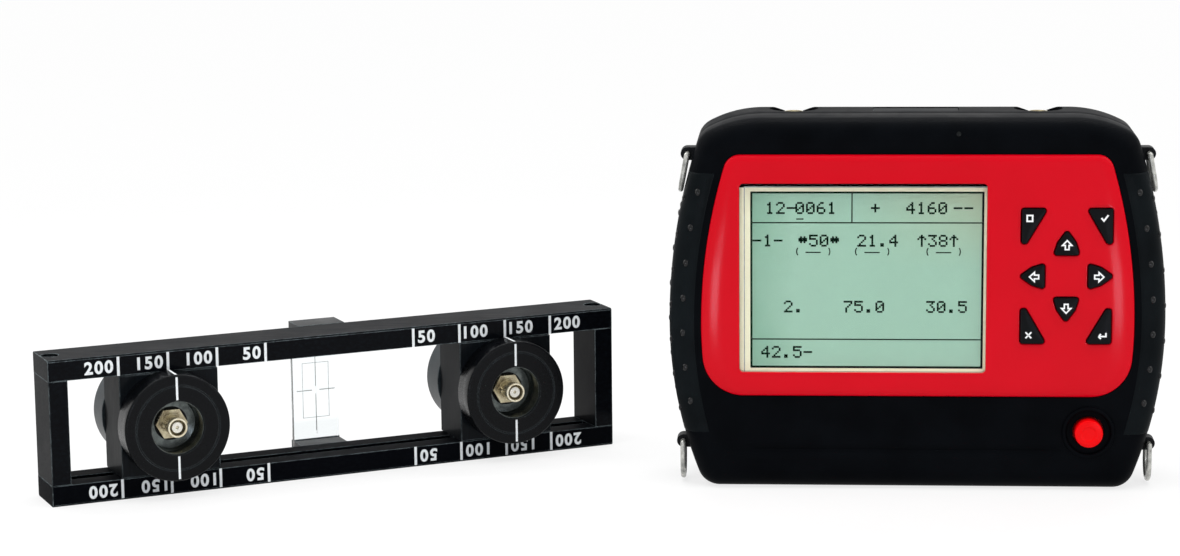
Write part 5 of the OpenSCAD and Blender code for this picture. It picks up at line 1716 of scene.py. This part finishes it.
@dataclass
class Probe:
    """One sliding probe: block, round head with a ring groove and a recess, socket and transducer."""

    finishes: Finishes
    side: str
    middle: float
    height: float = 36.25
    radius: float = 26.5
    recess: float = 13.2
    front: float = -13.9

    def turned(self, profile: Sequence[tuple[float, float]], sides: int, hollow: bool = True) -> Shape:
        """A body turned about the probe's axis."""
        return turned(profile, (self.middle, self.height), sides, hollow)

    def head(self) -> Shape:
        """The head: rim with soft edges, a fine groove in its face, and the recess with a stepped wall."""
        r, back, front = self.radius, -0.3, self.front
        return self.turned(
            [(5.5, back), (r - 0.3, back), (r, back - 0.3), (r, front + 1.3),
             *fillet((r, front + 0.95), (r - 0.05, front + 0.05), (r - 0.95, front)),
             (r - 1.1, front), (r - 1.5, front), (21.8, front), (21.5, front),
             (21.4, front + 0.06), (21.3, front + 0.5), (20.7, front + 0.5), (20.6, front + 0.06),
             (20.5, front), (20.2, front), (14.2, front), (13.9, front),
             *fillet((13.7, front), (13.35, front + 0.02), (13.3, front + 0.35)),
             (self.recess, front + 0.7), (self.recess, front + 12.6), (12.6, -0.95), (5.5, -0.9)], 128)

    def sleeve(self) -> Shape:
        """The bright lining of the recess: a thin tube from just inside its mouth to its floor."""
        outer, mouth, floor = self.recess - 0.02, self.front + 1.0, -1.0
        bore, hole = outer - 0.33, 8.4
        return self.turned([(outer, mouth), (bore + 0.1, mouth), (bore, mouth + 0.2), (bore, floor - 1.2),
                            (bore - 0.55, floor - 0.3), (hole, floor - 0.2), (hole, floor),
                            (outer, floor)], 96)

    def index(self) -> Shape:
        """The white index line: down the rim and the face above the recess, and again below it."""
        x, z, w, r = self.middle, self.height, 0.55, self.radius
        return join([brick((x - w, -12.8, z + r - 0.15), (x + w, -0.4, z + r + 0.06)),
                     brick((x - w, -13.97, z + 14.0), (x + w, -13.8, z + r - 1.1)),
                     brick((x - w, -13.97, z - r + 1.1), (x + w, -13.8, z - 14.0))])

    def contact(self) -> Shape:
        """The socket's inner parts: a bright lip on the barrel and the sunk centre contact."""
        lip = [(3.98, -12.6), (4.86, -12.6), (4.86, -13.3), (4.7, -13.48), (4.2, -13.48), (3.98, -13.3)]
        pin = [(POLE, -4.0), (0.7, -4.0), (0.7, -11.4), (0.45, -11.6), (POLE, -11.6)]
        return join([self.turned(lip, 64), self.turned(pin, 24, False)])

    def build(self) -> None:
        """Builds the probe's pieces; all ride on its body."""
        f, side, body = self.finishes, self.side, self.side + "_probe"
        for name, finish, edge, slot in (("_slider", f.slider, 0.5, "slider_black"),
                                         ("_transducer", f.transducer, 0.6, "transducer_grey"),
                                         ("_wear_plate", f.ceramic, 0.2, "wear_ceramic"),
                                         ("_jack", f.plated, 0.15, "jack_metal"),
                                         ("_jack_core", f.white, 0.2, "insulator_white")):
            refined(side + name, finish, edge, slot)
        for name, shape, finish, nodes, slot, crease in (
                ("_head_disc", self.head(), f.head, [side + "_head"], "head_black", 45),
                ("_recess_sleeve", self.sleeve(), f.sleeve, [], "head_black", 45),
                ("_index_line", self.index(), f.mark, [], "mark_white", 20),
                ("_contact", self.contact(), f.lip, [], "jack_metal", 35)):
            put(side + name, shape.mapped(Holder.place), finish, body, nodes, slot, crease)


# Stage


@dataclass(frozen=True)
class Softbox:
    """One soft lamp: where it hangs, what it looks at, its size and its power."""

    name: str
    place: tuple[float, float, float]
    target: tuple[float, float, float]
    size: tuple[float, float]
    watts: float
    mirrored: bool = True
    colour: tuple[float, float, float] = (1.0, 1.0, 1.0)

    def build(self) -> None:
        """Hangs the lamp."""
        data = bpy.data.lights.new(self.name, "AREA")
        data.shape, data.size, data.size_y, data.energy = "RECTANGLE", *self.size, self.watts
        data.color = self.colour
        lamp = bpy.data.objects.new(self.name, data)
        lamp.location = self.place
        lamp.visible_glossy = self.mirrored
        lamp.visible_camera = False
        lamp.rotation_euler = (Vector(self.target) - Vector(self.place)).to_track_quat("-Z", "Y").to_euler()
        bpy.context.scene.collection.objects.link(lamp)


@dataclass
class Studio:
    """Floor, surroundings, lamps and camera."""

    sensor: float = 36.0
    lens: float = 3200 / 1180 * 36
    eye: tuple[float, float, float] = (-0.050, -1.5614, 0.3867)
    target: tuple[float, float, float] = (-0.16097, 0.0, 0.09991)
    roll: float = -0.58
    plain_level: float = 0.5
    middle: tuple[float, float, float] = (-0.15, 0.0, 0.0)
    lamps: tuple[Softbox, ...] = (
        Softbox("overhead", (-0.15, -0.45, 1.5), (-0.1, 0.0, 0.1), (1.6, 0.9), 14.0, False),
        Softbox("back_strip", (0.0, 0.55, 1.25), (0.0, 0.0, 0.18), (1.3, 0.12), 8.0),
        Softbox("left_strip", (-0.212, -0.42, 0.03), (-0.11, 0.0, 0.1), (0.06, 0.055), 0.15,
                colour=(0.8, 0.84, 1.0)),
        Softbox("right_strip", (0.215, -0.42, 0.03), (0.11, 0.0, 0.1), (0.07, 0.058), 0.15,
                colour=(0.8, 0.84, 1.0)),
        Softbox("left_panel", (-1.05, 0.05, 0.8), (-0.2, 0.0, 0.1), (0.9, 0.8), 4.5),
        Softbox("right_panel", (1.0, -0.25, 0.8), (0.1, 0.0, 0.1), (0.9, 0.8), 4.0),
    )

    def floor(self) -> None:
        """A pale floor that is nearly white where it is looked at, and keeps a light shadow by the object."""
        p = Paint("floor")
        p.set(Base_Color=p.blend(p.spread(p.noise(9, 3), 0, 1), tone(238, 238, 238), tone(243, 243, 243)),
              Roughness=p.spread(p.noise(30, 3), 0.7, 0.8), Specular_IOR_Level=0.1,
              Normal=p.bump(p.noise(400, 3), 0.0001, 0.2))
        away = p.node("ShaderNodeVectorMath", {0: p.place, 1: self.middle}, operation="DISTANCE")
        white = p.maths("MULTIPLY", p.looked_at(), p.spread(away.outputs["Value"], 0.76, 0.97, 0.3, 1.1))
        p.show(white, p.node("ShaderNodeEmission", {"Strength": 1.0}))
        mesh = bpy.data.meshes.new("floor")
        mesh.from_pydata([(-12, -6, 0), (12, -6, 0), (12, 16, 0), (-12, 16, 0)], [], [(0, 1, 2, 3)])
        mesh.materials.append(p.material)
        piece = bpy.data.objects.new("floor", mesh)
        bpy.context.scene.collection.objects.link(piece)

    def surroundings(self) -> None:
        """White where it is looked at, directly, in gloss or through clear parts; a plain level elsewhere."""
        world = bpy.data.worlds.new("studio")
        world.use_nodes = True
        bpy.context.scene.world = world
        world.node_tree.nodes.clear()
        n = Nodes(world.node_tree)
        plain, white = (n.node("ShaderNodeBackground", {0: (1, 1, 1, 1), 1: level})
                        for level in (self.plain_level, 1.0))
        mixed = n.node("ShaderNodeMixShader", {0: n.looked_at(), 1: plain.outputs[0], 2: white.outputs[0]})
        n.node("ShaderNodeOutputWorld", {0: mixed.outputs[0]})

    def camera(self) -> None:
        """The camera at the photograph's angle, rolled a little about its line of sight."""
        data = bpy.data.cameras.new("camera")
        data.lens, data.sensor_width = self.lens, self.sensor
        eye, target = Vector(self.eye), Vector(self.target)
        aim = (target - eye).to_track_quat("-Z", "Y").to_matrix()
        turn = aim @ Matrix.Rotation(math.radians(self.roll), 3, "Z")
        camera = bpy.data.objects.new("camera", data)
        camera.matrix_world = Matrix.Translation(eye) @ turn.to_4x4()
        bpy.context.scene.collection.objects.link(camera)
        bpy.context.scene.camera = camera

    def build(self) -> None:
        """Builds the stage."""
        bpy.context.scene.view_settings.view_transform = "Standard"
        self.floor()
        self.surroundings()
        for lamp in self.lamps:
            lamp.build()
        self.camera()


def main() -> None:
    """Builds the stage, the instrument case and the probe holder."""
    logging.basicConfig(level=logging.INFO, format="%(message)s")
    finishes = Finishes()
    Studio().build()
    shells = CaseShells(finishes)
    for part in (shells, Grips(finishes, shells), RedPanel(finishes), Display(finishes), KeyPad(finishes),
                 PowerButton(finishes), Fittings(finishes), Holder(finishes),
                 Probe(finishes, "left", -89.1), Probe(finishes, "right", 89.1)):
        part.build()
        log.info("%s done", type(part).__name__)


if __name__ == "__main__":
    main()
